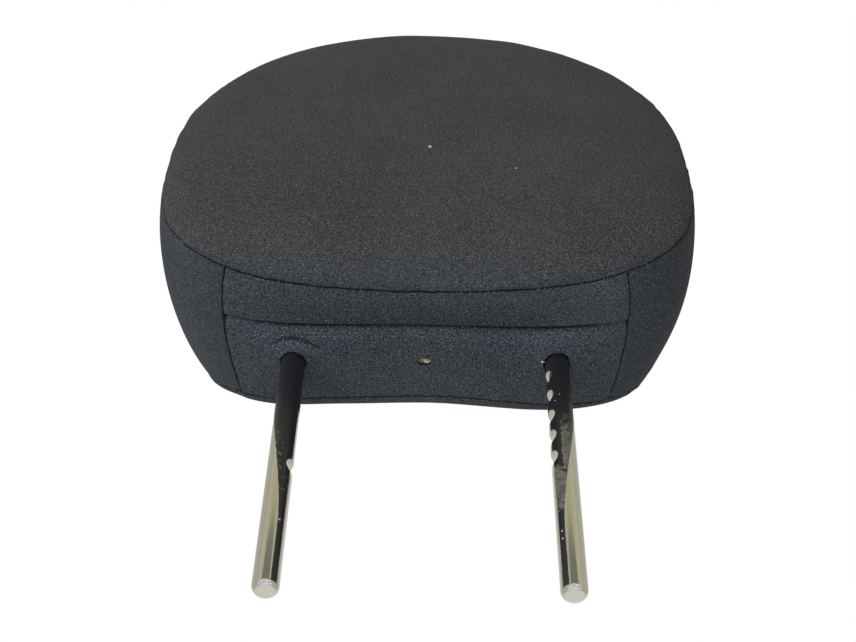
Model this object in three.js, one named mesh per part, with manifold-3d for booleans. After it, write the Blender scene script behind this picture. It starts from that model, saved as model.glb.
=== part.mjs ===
// Car headrest: a foam cushion in a sewn cloth cover, carried by one bent steel bar whose two
// legs are the plated posts. Millimetres, +Z up, the cushion's face towards -Y. The origin lies
// midway between the post axes, in the plane of the post ends.
import * as THREE from "three";
import { mergeVertices } from "three/addons/utils/BufferGeometryUtils.js";
import Module from "manifold-3d";

const wasm = await Module();
wasm.setup();

// Bar: two posts and the cross bar between them, one bent round rod
const POST_DIAMETER = 12;
const POST_SPACING = 130;
const POST_EXPOSED = 151;
const POST_INSIDE = 128;
const BEND_RADIUS = 30;
const TIP_LENGTH = 3.6;
const TIP_FACE_DIAMETER = 7.4;

// Latch notches on the inner sides of the posts, measured up from the post ends
const NOTCH_DEPTH = 2.8;
const NOTCH_HEIGHT = 9;
const NOTCH_PITCH = 14;
const NOTCH_COUNT = 5;
const RIGHT_NOTCH_FIRST = 81;
const LEFT_NOTCH = 73;

// Outline of the seam round the face, and of the smaller seam round the back
const FACE_WIDTH = 266;
const FACE_ABOVE = 126;
const FACE_BELOW = 98;
const FACE_FORWARD = 47.5;
const FACE_BOW = -13;
const FACE_LEAN = -6;
const FACE_TAPER = 0.05;
const BACK_WIDTH = 239;
const BACK_ABOVE = 95;
const BACK_BELOW = 81;
const BACK_BEHIND = 27;
const BACK_BOW = 15;
const BACK_LEAN = 2.4;
const BACK_TAPER = 0.06;
const ROUND_TOP = 2.05;
const ROUND_BOTTOM = 3.4;
const FACE_RISE = 1.5;

// Fullness of the padding
const FACE_CROWN = 21;
const BACK_CROWN = 20.5;
const FACE_ROUND = 2.5;
const BACK_ROUND = 3.3;
const CROWN_SWELL = 1.8;
const BAND_BULGE = 7;
const CORNER_FULLNESS = 4;

// Underside: the two corner seams, and the closure that draws the cover in
const FACE_CORNER = 97;
const BACK_CORNER = 94;
const CLOSURE_DISTANCE = 22.5;
const CLOSURE_SWEEP = 6.5;
const CLOSURE_RECESS = 3.2;
const CLOSURE_RECESS_REACH = 13;
const RECESS_EDGE_FADE = 16;

// Cover
const COVER_THICKNESS = 2.4;
const SEAM_ALLOWANCE = 8;
const SEAM_GAP = 0.3;
const FOAM_GAP = 0.6;
const LIP_THINNING = 0.2;
const TROUGH_SLOPE = 0.2;

// Closure strips, and how far the lower panel runs under the flap
const FLAP_OVERLAP = 6.5;
const PANEL_RAMP = 9;
const RAMP_START = 0.5;
const STRIP_WALL = 1;
const STRIP_HOOK = 4;
const STRIP_SLOT = 3;
const STRIP_GAP = 0.3;
const HOOK_SETBACK = 2;

// Post holes, their seals and the slit that the foam was filled through
const HOLE_CLEARANCE = 0.4;
const SEAL_DIAMETER = 20;
const SEAL_THICKNESS = 2;
const SEAL_STANDOFF = 0.9;
const SEAL_BORE_CLEARANCE = 0.6;
const SLIT_WIDTH = 7.5;
const SLIT_HEIGHT = 3.4;
const NIB_DIAMETER = 2.6;
const NIB_RECESS = 0.5;

// Fineness of the surfaces
const BOTTOM_COLUMNS = 16;
const SIDE_COLUMNS = 42;
const COLUMNS = BOTTOM_COLUMNS + SIDE_COLUMNS;
const SEAM_SAMPLES = 1440;
const BAR_SIDES = 20;
const BEND_STEPS = 6;

const NOTCH_SIDES = 40;

// How far a cutting shape runs past what it cuts
const CUT_MARGIN = 1;

const BOW_REACH = 145;
const LEAN_REACH = 100;
const POST_RADIUS = POST_DIAMETER / 2;
const POST_X = POST_SPACING / 2;
const HALF_GAP = SEAM_GAP / 2;
const LIP = COVER_THICKNESS - LIP_THINNING;

const FACE = {
  halfWidth: FACE_WIDTH / 2,
  above: FACE_ABOVE,
  below: FACE_BELOW,
  middle: POST_EXPOSED + FACE_RISE + FACE_BELOW,
  depth: -FACE_FORWARD,
  bow: FACE_BOW,
  lean: FACE_LEAN,
  taper: FACE_TAPER,
  crown: -FACE_CROWN,
  round: FACE_ROUND,
  corner: FACE_CORNER,
};
const BACK = {
  halfWidth: BACK_WIDTH / 2,
  above: BACK_ABOVE,
  below: BACK_BELOW,
  middle: POST_EXPOSED + BACK_BELOW,
  depth: BACK_BEHIND,
  bow: BACK_BOW,
  lean: BACK_LEAN,
  taper: BACK_TAPER,
  crown: BACK_CROWN,
  round: BACK_ROUND,
  corner: BACK_CORNER,
};

const at = (x, y, z) => new THREE.Vector3(x, y, z);

function panelDepth(panel, x, z) {
  const rise = (z - panel.middle) / LEAN_REACH;
  return panel.depth + panel.bow * (x / BOW_REACH) ** 2 + panel.lean * rise;
}

// A panel's outline: a rounded shape with a fuller lower half, walked from its bottom middle
function outline(panel) {
  const points = [];
  const lengths = [0];
  for (let i = 0; i <= SEAM_SAMPLES; i++) {
    const turn = (i / SEAM_SAMPLES) * 2 * Math.PI - Math.PI / 2;
    const across = Math.cos(turn);
    const up = Math.sin(turn);
    const power = 2 / (up >= 0 ? ROUND_TOP : ROUND_BOTTOM);
    const reach = up >= 0 ? panel.above : panel.below;
    const rise = Math.sign(up) * reach * Math.abs(up) ** power;
    const width = panel.halfWidth * (1 - (panel.taper * rise) / LEAN_REACH);
    const x = Math.sign(across) * width * Math.abs(across) ** power;
    const z = panel.middle + rise;
    points.push(at(x, panelDepth(panel, x, z), z));
    if (i > 0) lengths.push(lengths[i - 1] + points[i].distanceTo(points[i - 1]));
  }
  const corner = lengths[points.findIndex((p) => p.x >= panel.corner)];
  return { points, lengths, corner, total: lengths[SEAM_SAMPLES] };
}

const OUTLINES = new Map([FACE, BACK].map((panel) => [panel, outline(panel)]));

// Column 0 is the left corner seam and BOTTOM_COLUMNS is the right one
function seamAt(panel, column) {
  const { points, lengths, corner, total } = OUTLINES.get(panel);
  const turn = ((column % COLUMNS) + COLUMNS) % COLUMNS;
  const under = turn <= BOTTOM_COLUMNS;
  const run = under
    ? (turn / BOTTOM_COLUMNS) * 2 * corner - corner
    : corner + ((turn - BOTTOM_COLUMNS) / SIDE_COLUMNS) * (total - 2 * corner);
  const length = (run + total) % total;
  let low = 0;
  let high = SEAM_SAMPLES;
  while (high - low > 1) {
    const mid = (low + high) >> 1;
    if (lengths[mid] <= length) low = mid;
    else high = mid;
  }
  const share = (length - lengths[low]) / (lengths[high] - lengths[low]);
  return points[low].clone().lerp(points[high], share);
}

function domePoint(panel, column, share) {
  const seam = seamAt(panel, column);
  const x = seam.x * share;
  const z = panel.middle + (seam.z - panel.middle) * share;
  const swell = (1 - share ** panel.round) ** (1 / CROWN_SWELL);
  return at(x, panelDepth(panel, x, z) + panel.crown * swell, z);
}

function bandWidth(column) {
  return seamAt(FACE, column).distanceTo(seamAt(BACK, column));
}

// Where the flap's free edge crosses the band, as a share of its width from the face seam
function closureShare(column) {
  const sweep = CLOSURE_SWEEP * (seamAt(FACE, column).x / FACE_CORNER) ** 2;
  return (CLOSURE_DISTANCE + sweep) / bandWidth(column);
}

function bandPoint(column, share) {
  const face = seamAt(FACE, column);
  const ahead = seamAt(FACE, column + 0.2).sub(seamAt(FACE, column - 0.2));
  const out = at(ahead.z, 0, -ahead.x).normalize();
  const level = Math.max(0, -out.z) ** CORNER_FULLNESS;
  const bulge = BAND_BULGE * 4 * share * (1 - share) * (1 - level);
  const inMiddle = Math.max(0, 1 - (face.x / FACE_CORNER) ** 4) * level;
  const from = ((share - closureShare(column)) * bandWidth(column)) / CLOSURE_RECESS_REACH;
  const edges = Math.min(1, RECESS_EDGE_FADE * share * (1 - share));
  const recess = CLOSURE_RECESS * Math.exp(-from * from) * inMiddle * edges;
  return face.lerp(seamAt(BACK, column), share).addScaledVector(out, bulge - recess);
}

// The cushion's whole skin: 0 to 1 is the face, 1 to 2 the band, 2 to 3 the back
function skinPoint(place, column) {
  if (place <= 1) return domePoint(FACE, column, place);
  if (place < 2) return bandPoint(column, place - 1);
  return domePoint(BACK, column, Math.min(1, 3 - place));
}

function skinNormal(place, column, patch = Math.min(2, Math.floor(place))) {
  const low = Math.max(patch + 0.002, place - 0.01);
  const high = Math.min(patch + 0.998, place + 0.01);
  const along = skinPoint(high, column).sub(skinPoint(low, column));
  const mid = (low + high) / 2;
  const round = skinPoint(mid, column + 0.1).sub(skinPoint(mid, column - 0.1));
  return along.cross(round).normalize();
}

function under(place, column, depth) {
  return skinPoint(place, column).addScaledVector(skinNormal(place, column), -depth);
}

function pole(place, depth) {
  return skinPoint(place, 0).add(at(0, place < 1 ? depth : -depth, 0));
}

// At a seam the two cover pieces turn inwards side by side: across is measured from the seam
// along the skin, towards the back, and depth runs straight in between the two pieces
function seamFrame(seam, column) {
  const before = skinNormal(seam - 0.002, column, seam - 1);
  const after = skinNormal(seam + 0.002, column, seam);
  const inward = before.clone().add(after).normalize().negate();
  const along = skinPoint(seam, column + 0.1).sub(skinPoint(seam, column - 0.1)).normalize();
  const across = along.cross(inward).normalize();
  if (across.dot(skinPoint(seam + 0.02, column).sub(skinPoint(seam, column))) < 0) across.negate();
  return { inward, across, slope: Math.abs(inward.dot(after)) };
}

function seamPoint(seam, column, across, depth) {
  const frame = seamFrame(seam, column);
  const point = skinPoint(seam, column).addScaledVector(frame.across, across);
  return point.addScaledVector(frame.inward, depth);
}

// The same, at a given distance under the skin instead of a depth along the seam
function seamUnder(seam, column, across, thickness) {
  const { slope } = seamFrame(seam, column);
  const fall = Math.sqrt(1 - slope * slope) / slope;
  return seamPoint(seam, column, across, thickness / slope + Math.abs(across) * fall);
}

function geometryOf(points, triangles) {
  const flat = points.flatMap((p) => [p.x, p.y, p.z]);
  const geometry = new THREE.BufferGeometry();
  geometry.setAttribute("position", new THREE.Float32BufferAttribute(flat, 3));
  geometry.setIndex(triangles);
  return geometry;
}

// Closed body from rings of points that run outside first and then back inside, with a single
// point at each end
function lathed(first, rings, last) {
  const points = [first, ...rings.flat(), last];
  const count = rings[0].length;
  const id = (ring, i) => 1 + ring * count + (i % count);
  const triangles = [];
  for (let i = 0; i < count; i++) {
    triangles.push(0, id(0, i), id(0, i + 1));
    for (let ring = 0; ring + 1 < rings.length; ring++) {
      triangles.push(id(ring, i), id(ring + 1, i), id(ring + 1, i + 1));
      triangles.push(id(ring, i), id(ring + 1, i + 1), id(ring, i + 1));
    }
    triangles.push(points.length - 1, id(rings.length - 1, i + 1), id(rings.length - 1, i));
  }
  return geometryOf(points, triangles);
}

// Closed body from equal closed sections, one after another along the seams
function swept(sections) {
  const count = sections[0].length;
  const points = sections.flat();
  const id = (section, k) => section * count + (k % count);
  const triangles = [];
  for (let i = 0; i + 1 < sections.length; i++) {
    for (let k = 0; k < count; k++) {
      triangles.push(id(i, k), id(i, k + 1), id(i + 1, k + 1));
      triangles.push(id(i, k), id(i + 1, k + 1), id(i + 1, k));
    }
  }
  const capOf = (section) => {
    const side = section[1].clone().sub(section[0]).normalize();
    const normal = at(0, 0, 0);
    section.forEach((p, k) => normal.add(p.clone().cross(section[(k + 1) % count])));
    normal.normalize();
    const other = normal.clone().cross(side);
    const flat = section.map((p) => new THREE.Vector2(p.dot(side), p.dot(other)));
    return THREE.ShapeUtils.triangulateShape(flat, []);
  };
  const last = sections.length - 1;
  capOf(sections[0]).forEach(([a, b, c]) => triangles.push(id(0, a), id(0, c), id(0, b)));
  capOf(sections[last]).forEach(([a, b, c]) => triangles.push(id(last, a), id(last, b), id(last, c)));
  return geometryOf(points, triangles);
}

function solidOf(geometry) {
  const bare = geometry.clone();
  bare.deleteAttribute("normal");
  bare.deleteAttribute("uv");
  const merged = mergeVertices(bare, 1e-4);
  return new wasm.Manifold(
    new wasm.Mesh({
      numProp: 3,
      vertProperties: merged.attributes.position.array,
      triVerts: new Uint32Array(merged.index.array),
    }),
  );
}

function geometryFrom(solid) {
  const mesh = solid.getMesh();
  const geometry = new THREE.BufferGeometry();
  geometry.setAttribute("position", new THREE.BufferAttribute(mesh.vertProperties, 3));
  geometry.setIndex(new THREE.BufferAttribute(mesh.triVerts, 1));
  return geometry;
}

const columns = [...Array(COLUMNS).keys()];
const ring = (pointAt) => columns.map(pointAt);

// Cover
const FACE_OUTSIDE = [0.15, 0.35, 0.55, 0.72, 0.85, 0.93, 0.975];
const FACE_INSIDE = [0.92, 0.84, 0.7, 0.5, 0.25];
const BACK_OUTSIDE = [0.97, 0.9, 0.78, 0.6, 0.35];
const BACK_INSIDE = [0.35, 0.6, 0.78, 0.9];
const BAND_OUTSIDE = [0.08, 0.22, 0.4, 0.6, 0.78, 0.92];
const BAND_INSIDE = [0.86, 0.7, 0.5, 0.3, 0.14];

function facePanel() {
  const edge = -HALF_GAP;
  const lip = -HALF_GAP - LIP;
  const rings = [
    ...FACE_OUTSIDE.map((share) => ring((c) => skinPoint(share, c))),
    ring((c) => seamPoint(1, c, edge, 0)),
    ring((c) => seamPoint(1, c, edge, SEAM_ALLOWANCE)),
    ring((c) => seamPoint(1, c, lip, SEAM_ALLOWANCE)),
    ring((c) => seamUnder(1, c, lip, COVER_THICKNESS)),
    ...FACE_INSIDE.map((share) => ring((c) => under(share, c, COVER_THICKNESS))),
  ];
  return lathed(pole(0, 0), rings, pole(0, COVER_THICKNESS));
}

function backPanel() {
  const edge = HALF_GAP;
  const lip = HALF_GAP + LIP;
  const rings = [
    ...BACK_INSIDE.map((share) => ring((c) => under(3 - share, c, COVER_THICKNESS))),
    ring((c) => seamUnder(2, c, lip, COVER_THICKNESS)),
    ring((c) => seamPoint(2, c, lip, SEAM_ALLOWANCE)),
    ring((c) => seamPoint(2, c, edge, SEAM_ALLOWANCE)),
    ring((c) => seamPoint(2, c, edge, 0)),
    ...BACK_OUTSIDE.map((share) => ring((c) => skinPoint(3 - share, c))),
  ];
  return lathed(pole(3, COVER_THICKNESS), rings, pole(3, 0));
}

// Turned-in edges of a band piece, at the face seam and at the back seam
function lipAtFace(c) {
  return [
    seamUnder(1, c, HALF_GAP + LIP, COVER_THICKNESS),
    seamPoint(1, c, HALF_GAP + LIP, SEAM_ALLOWANCE),
    seamPoint(1, c, HALF_GAP, SEAM_ALLOWANCE),
  ];
}

function lipAtBack(c) {
  return [
    seamPoint(2, c, -HALF_GAP, SEAM_ALLOWANCE),
    seamPoint(2, c, -HALF_GAP - LIP, SEAM_ALLOWANCE),
    seamUnder(2, c, -HALF_GAP - LIP, COVER_THICKNESS),
  ];
}

// Sections at whole columns from first to last, the two end ones held back from the corner seams
function sectionsBetween(first, last, sectionAt) {
  const sections = [];
  for (let c = first; c <= last; c++) sections.push(sectionAt(c));
  const holdBack = (end, next) =>
    end.map((p, k) => p.clone().add(next[k].clone().sub(p).setLength(HALF_GAP)));
  const count = sections.length;
  const start = holdBack(sections[0], sections[1]);
  const finish = holdBack(sections[count - 1], sections[count - 2]);
  return [start, ...sections.slice(1, -1), finish];
}

function sideBand() {
  const sectionAt = (c) => [
    seamPoint(1, c, HALF_GAP, 0),
    ...BAND_OUTSIDE.map((share) => skinPoint(1 + share, c)),
    seamPoint(2, c, -HALF_GAP, 0),
    ...lipAtBack(c),
    ...BAND_INSIDE.map((share) => under(1 + share, c, COVER_THICKNESS)),
    ...lipAtFace(c),
  ];
  return swept(sectionsBetween(BOTTOM_COLUMNS, COLUMNS, sectionAt));
}

// A place on the underside, by its distance behind the flap's free edge
function behindClosure(column, distance, depth) {
  return under(1 + closureShare(column) + distance / bandWidth(column), column, depth);
}

function closureFlap() {
  const shares = [0.2, 0.45, 0.7];
  const edgeRound = COVER_THICKNESS / 3;
  const sectionAt = (c) => [
    seamPoint(1, c, HALF_GAP, 0),
    ...shares.map((share) => skinPoint(1 + share * closureShare(c), c)),
    behindClosure(c, -edgeRound, 0),
    behindClosure(c, 0, edgeRound),
    behindClosure(c, 0, COVER_THICKNESS - edgeRound),
    behindClosure(c, -edgeRound, COVER_THICKNESS),
    ...[0.7, 0.45].map((share) => under(1 + share * closureShare(c), c, COVER_THICKNESS)),
    ...lipAtFace(c),
  ];
  return swept(sectionsBetween(0, BOTTOM_COLUMNS, sectionAt));
}

const HIDDEN_DEPTH = COVER_THICKNESS + SEAM_GAP;

function postPanel() {
  const shares = [0.66, 0.82, 0.93];
  const sectionAt = (c) => [
    behindClosure(c, -FLAP_OVERLAP, HIDDEN_DEPTH),
    behindClosure(c, RAMP_START, HIDDEN_DEPTH),
    behindClosure(c, PANEL_RAMP / 3, HIDDEN_DEPTH / 2.6),
    behindClosure(c, PANEL_RAMP, 0),
    ...shares.map((share) => skinPoint(1 + share, c)),
    seamPoint(2, c, -HALF_GAP, 0),
    ...lipAtBack(c),
    ...shares.slice(0, 2).reverse().map((share) => under(1 + share, c, COVER_THICKNESS)),
    behindClosure(c, PANEL_RAMP, COVER_THICKNESS),
    behindClosure(c, RAMP_START, HIDDEN_DEPTH + COVER_THICKNESS),
    behindClosure(c, -FLAP_OVERLAP, HIDDEN_DEPTH + COVER_THICKNESS),
  ];
  let solid = solidOf(swept(sectionsBetween(0, BOTTOM_COLUMNS, sectionAt)));
  for (const side of [-1, 1]) {
    solid = solid.subtract(solidOf(roundPost(side, HOLE_CLEARANCE)));
  }
  return geometryFrom(solid.subtract(solidOf(fillSlit())));
}

// A slit with round ends across the middle of the underside
function fillSlit() {
  const straight = (SLIT_WIDTH - SLIT_HEIGHT) / 2;
  const shape = new THREE.Shape();
  shape.absarc(straight, 0, SLIT_HEIGHT / 2, -Math.PI / 2, Math.PI / 2);
  shape.absarc(-straight, 0, SLIT_HEIGHT / 2, Math.PI / 2, (3 * Math.PI) / 2);
  const depth = 4 * COVER_THICKNESS;
  const slit = new THREE.ExtrudeGeometry(shape, { depth, bevelEnabled: false, curveSegments: 5 });
  return slit.translate(0, 0, POST_EXPOSED - depth / 2);
}

// Closure strips: two hooked profiles that pull against each other
const STRIP_TOP = COVER_THICKNESS + SEAM_GAP;
const HOOK_FRONT = FLAP_OVERLAP + HOOK_SETBACK;
const LIP_DEPTH = STRIP_TOP + STRIP_WALL + STRIP_SLOT;
const CATCH_TOP = HIDDEN_DEPTH + COVER_THICKNESS + SEAM_GAP;
const CATCH_LEG = LIP_DEPTH + STRIP_WALL + STRIP_GAP;
const CATCH_LIP = STRIP_TOP + STRIP_WALL + (STRIP_SLOT - STRIP_WALL) / 2;

function stripAlong(profile) {
  const sectionAt = (c) => profile.map(([distance, depth]) => behindClosure(c, -distance, depth));
  const sections = [];
  for (let c = 1; c <= BOTTOM_COLUMNS - 1; c++) sections.push(sectionAt(c));
  return swept(sections);
}

function hookStrip() {
  const legEnd = HOOK_FRONT + 2 * STRIP_HOOK;
  return stripAlong([
    [legEnd, STRIP_TOP],
    [HOOK_FRONT, STRIP_TOP],
    [HOOK_FRONT, LIP_DEPTH + STRIP_WALL],
    [HOOK_FRONT + STRIP_HOOK, LIP_DEPTH + STRIP_WALL],
    [HOOK_FRONT + STRIP_HOOK, LIP_DEPTH],
    [HOOK_FRONT + STRIP_WALL, LIP_DEPTH],
    [HOOK_FRONT + STRIP_WALL, STRIP_TOP + STRIP_WALL],
    [legEnd, STRIP_TOP + STRIP_WALL],
  ]);
}

function catchStrip() {
  const web = HOOK_FRONT + STRIP_HOOK + STRIP_GAP;
  const lipEnd = HOOK_FRONT + STRIP_WALL + STRIP_GAP;
  return stripAlong([
    [web + STRIP_WALL, CATCH_LIP],
    [lipEnd, CATCH_LIP],
    [lipEnd, CATCH_LIP + STRIP_WALL],
    [web, CATCH_LIP + STRIP_WALL],
    [web, CATCH_LEG],
    [HOOK_FRONT - STRIP_WALL, CATCH_LEG],
    [FLAP_OVERLAP, CATCH_TOP],
    [STRIP_WALL, CATCH_TOP],
    [STRIP_WALL, CATCH_TOP + STRIP_WALL],
    [FLAP_OVERLAP - STRIP_WALL / 2, CATCH_TOP + STRIP_WALL],
    [HOOK_FRONT - STRIP_WALL, CATCH_LEG + STRIP_WALL],
    [web + STRIP_WALL, CATCH_LEG + STRIP_WALL],
  ]);
}

// Bar: rings of one radius along the two legs, bends and cross bar
function barRings(radius, tips) {
  const crossHeight = POST_EXPOSED + POST_INSIDE;
  const bendX = POST_X - BEND_RADIUS;
  const bendZ = crossHeight - BEND_RADIUS;
  const stations = [];
  const add = (x, z, turn, size) => stations.push({ x, z, turn, size });
  if (tips) {
    add(-POST_X, 0, 0, TIP_FACE_DIAMETER / 2);
    add(-POST_X, TIP_LENGTH * 0.3, 0, (POST_RADIUS * 2 + TIP_FACE_DIAMETER / 2) / 3);
    add(-POST_X, TIP_LENGTH * 0.65, 0, POST_RADIUS * 0.95);
    add(-POST_X, TIP_LENGTH, 0, radius);
  } else {
    add(-POST_X, POST_EXPOSED / 2, 0, radius);
  }
  for (let i = 0; i <= BEND_STEPS; i++) {
    const turn = (i / BEND_STEPS) * (Math.PI / 2);
    const x = -bendX - BEND_RADIUS * Math.cos(turn);
    add(x, bendZ + BEND_RADIUS * Math.sin(turn), turn, radius);
  }
  const mirrored = stations.map((s) => ({ ...s, x: -s.x, turn: Math.PI - s.turn })).reverse();
  return [...stations, ...mirrored].map((station) => {
    const points = [];
    for (let i = 0; i < BAR_SIDES; i++) {
      const angle = ((i + 0.5) / BAR_SIDES) * 2 * Math.PI;
      const out = station.size * Math.cos(angle);
      const side = station.size * Math.sin(angle);
      const x = station.x - out * Math.cos(station.turn);
      points.push(at(x, side, station.z + out * Math.sin(station.turn)));
    }
    return points;
  });
}

function bar(radius, tips) {
  const rings = barRings(radius, tips);
  const total = (points) => points.reduce((sum, p) => sum.add(p), at(0, 0, 0));
  const centre = (points) => total(points).divideScalar(points.length);
  return lathed(centre(rings[0]), rings, centre(rings[rings.length - 1]));
}

// A notch is a round groove milled across the post, as high at the surface as NOTCH_HEIGHT
function notch(side, height) {
  const radius = (NOTCH_HEIGHT ** 2 / 4 + NOTCH_DEPTH ** 2) / (2 * NOTCH_DEPTH);
  const width = POST_DIAMETER + 2 * CUT_MARGIN;
  const groove = new THREE.CylinderGeometry(radius, radius, width, NOTCH_SIDES);
  return groove.translate(side * (POST_X - POST_RADIUS + NOTCH_DEPTH - radius), 0, height);
}

function postFrame() {
  let solid = solidOf(bar(POST_RADIUS, true));
  for (let i = 0; i < NOTCH_COUNT; i++) {
    solid = solid.subtract(solidOf(notch(1, RIGHT_NOTCH_FIRST + i * NOTCH_PITCH)));
  }
  return geometryFrom(solid.subtract(solidOf(notch(-1, LEFT_NOTCH))));
}

// The value between low and high at which a rising measure reaches zero
function rootOf(measure, low, high) {
  for (let step = 0; step < 30; step++) {
    const mid = (low + high) / 2;
    if (measure(mid) < 0) low = mid;
    else high = mid;
  }
  return (low + high) / 2;
}

// A disc square to the underside at a post, from one depth under the skin to another
function discAtPost(side, radius, from, to) {
  let column = BOTTOM_COLUMNS / 2;
  let place = 1.5;
  for (let pass = 0; pass < 3; pass++) {
    column = rootOf((c) => skinPoint(place, c).x - side * POST_X, 0, BOTTOM_COLUMNS);
    place = rootOf((u) => skinPoint(u, column).y, 1.1, 1.9);
  }
  const inward = skinNormal(place, column).negate();
  const disc = new THREE.CylinderGeometry(radius, radius, to - from, 2 * BAR_SIDES);
  disc.translate(0, (from + to) / 2, 0);
  disc.applyQuaternion(new THREE.Quaternion().setFromUnitVectors(at(0, 1, 0), inward));
  return disc.translate(side * POST_X, 0, skinPoint(place, column).z);
}

const SEAL_FROM = COVER_THICKNESS + SEAL_STANDOFF;

// A cylinder round a post, through all that the post passes at the underside
function roundPost(side, clearance) {
  const radius = POST_RADIUS + clearance;
  const length = 2 * (SEAL_DIAMETER + SEAL_FROM + SEAL_THICKNESS);
  const cylinder = new THREE.CylinderGeometry(radius, radius, length, BAR_SIDES);
  cylinder.rotateX(Math.PI / 2);
  return cylinder.translate(side * POST_X, 0, POST_EXPOSED);
}

function postSeal(side) {
  const disc = discAtPost(side, SEAL_DIAMETER / 2, SEAL_FROM, SEAL_FROM + SEAL_THICKNESS);
  return geometryFrom(solidOf(disc).subtract(solidOf(roundPost(side, SEAL_BORE_CLEARANCE))));
}

// Foam: follows the cover, with a groove for the turned-in edges, a trough for the closure
// strips, a channel for the bar, a seat for each seal and a nib in the fill slit
function foamCore() {
  const depth = COVER_THICKNESS + FOAM_GAP;
  const grooveSide = HALF_GAP + LIP + FOAM_GAP;
  const grooveDepth = SEAM_ALLOWANCE + FOAM_GAP;
  const trough = CATCH_LEG + STRIP_WALL + FOAM_GAP;
  const troughStart = -(HOOK_FRONT + 2 * STRIP_HOOK + FOAM_GAP);
  const hidden = HIDDEN_DEPTH + COVER_THICKNESS + FOAM_GAP;
  const bottom = [
    [troughStart - TROUGH_SLOPE, depth],
    [troughStart, trough],
    [-TROUGH_SLOPE, trough],
    [RAMP_START, hidden],
    [PANEL_RAMP, depth],
  ];
  const sideShares = [0.14, 0.2, 0.3, 0.4, 0.5];
  const seamGroove = (seam) => [
    ring((c) => seamUnder(seam, c, -grooveSide, depth)),
    ring((c) => seamPoint(seam, c, -grooveSide, grooveDepth)),
    ring((c) => seamPoint(seam, c, grooveSide, grooveDepth)),
    ring((c) => seamUnder(seam, c, grooveSide, depth)),
  ];
  const bandRings = bottom.map(([distance, deep], i) =>
    ring((c) =>
      c <= BOTTOM_COLUMNS ? behindClosure(c, distance, deep) : under(1 + sideShares[i], c, depth),
    ),
  );
  const rings = [
    ...FACE_INSIDE.slice().reverse().map((share) => ring((c) => under(share, c, depth))),
    ...seamGroove(1),
    ...bandRings,
    ...[0.7, 0.86].map((share) => ring((c) => under(1 + share, c, depth))),
    ...seamGroove(2),
    ...BACK_INSIDE.slice().reverse().map((share) => ring((c) => under(3 - share, c, depth))),
  ];
  let solid = solidOf(lathed(pole(0, depth), rings, pole(3, depth)));
  solid = solid.subtract(solidOf(bar(POST_RADIUS + SEAM_GAP, false)));
  for (const side of [-1, 1]) {
    const seatDepth = SEAL_FROM + SEAL_THICKNESS + SEAM_GAP;
    const seat = discAtPost(side, SEAL_DIAMETER / 2 + SEAM_GAP, COVER_THICKNESS, seatDepth);
    solid = solid.subtract(solidOf(seat));
  }
  const nibLength = 4 * COVER_THICKNESS;
  const nib = new THREE.CylinderGeometry(NIB_DIAMETER / 2, NIB_DIAMETER / 2, nibLength, 10);
  nib.rotateX(Math.PI / 2);
  nib.translate(0, 0, POST_EXPOSED + nibLength / 2 + NIB_RECESS);
  return geometryFrom(solid.add(solidOf(nib)));
}

// Finishes
const finish = (color, roughness, metalness) =>
  new THREE.MeshStandardMaterial({ color, roughness, metalness });
const CLOTH = [0x3f4041, 0.95, 0];
const SHADED_CLOTH = [0x333538, 0.95, 0];
const CHROME = [0xd6d5cf, 0.12, 1];
const FOAM = [0xd9cfae, 0.98, 0];
const STRIP = [0x1b1b1c, 0.5, 0];
const SEAL = [0x8e8d88, 0.95, 0];

const headrest = new THREE.Group();

function addPiece(name, geometry, looks) {
  geometry.computeVertexNormals();
  const mesh = new THREE.Mesh(geometry, finish(...looks));
  mesh.name = name;
  headrest.add(mesh);
}

addPiece("post_frame", postFrame(), CHROME);
addPiece("foam_core", foamCore(), FOAM);
addPiece("face_panel", facePanel(), CLOTH);
addPiece("side_band", sideBand(), CLOTH);
addPiece("back_panel", backPanel(), CLOTH);
addPiece("closure_flap", closureFlap(), SHADED_CLOTH);
addPiece("post_panel", postPanel(), SHADED_CLOTH);
addPiece("closure_hook_strip", hookStrip(), STRIP);
addPiece("closure_catch_strip", catchStrip(), STRIP);
addPiece("post_seal_left", postSeal(-1), SEAL);
addPiece("post_seal_right", postSeal(1), SEAL);

export default headrest;
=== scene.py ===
import math
from functools import partial, reduce
from types import SimpleNamespace

import bmesh
import bpy
import numpy as np
from bpy.props import FloatProperty, FloatVectorProperty, IntProperty, PointerProperty
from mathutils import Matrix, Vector
from mathutils.kdtree import KDTree


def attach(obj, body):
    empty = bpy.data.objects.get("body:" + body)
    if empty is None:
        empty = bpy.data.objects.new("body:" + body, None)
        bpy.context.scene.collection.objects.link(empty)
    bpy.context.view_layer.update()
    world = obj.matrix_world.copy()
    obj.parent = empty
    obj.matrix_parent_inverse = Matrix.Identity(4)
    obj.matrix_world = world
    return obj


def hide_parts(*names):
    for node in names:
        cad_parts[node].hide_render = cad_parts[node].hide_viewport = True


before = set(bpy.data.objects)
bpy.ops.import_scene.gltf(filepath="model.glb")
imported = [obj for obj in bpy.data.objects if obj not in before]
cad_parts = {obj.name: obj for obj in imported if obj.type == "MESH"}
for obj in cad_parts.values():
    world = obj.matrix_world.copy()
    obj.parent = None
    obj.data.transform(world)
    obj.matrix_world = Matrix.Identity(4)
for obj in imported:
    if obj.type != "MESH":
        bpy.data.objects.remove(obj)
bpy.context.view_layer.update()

bl_info = {
    "name": "Car headrest",
    "version": (1, 0, 0),
    "blender": (4, 5, 0),
    "location": "View3D > Sidebar > Headrest",
    "description": "Makes a car headrest's sewn cover, foam, plated bar and studio round its frame",
    "category": "Object",
}

BODY = "root"


def length(name, description, default):
    return FloatProperty(
        name=name, description=description, default=default, unit="LENGTH", precision=5
    )


def ratio(name, description, default):
    return FloatProperty(name=name, description=description, default=default, precision=3)


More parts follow.
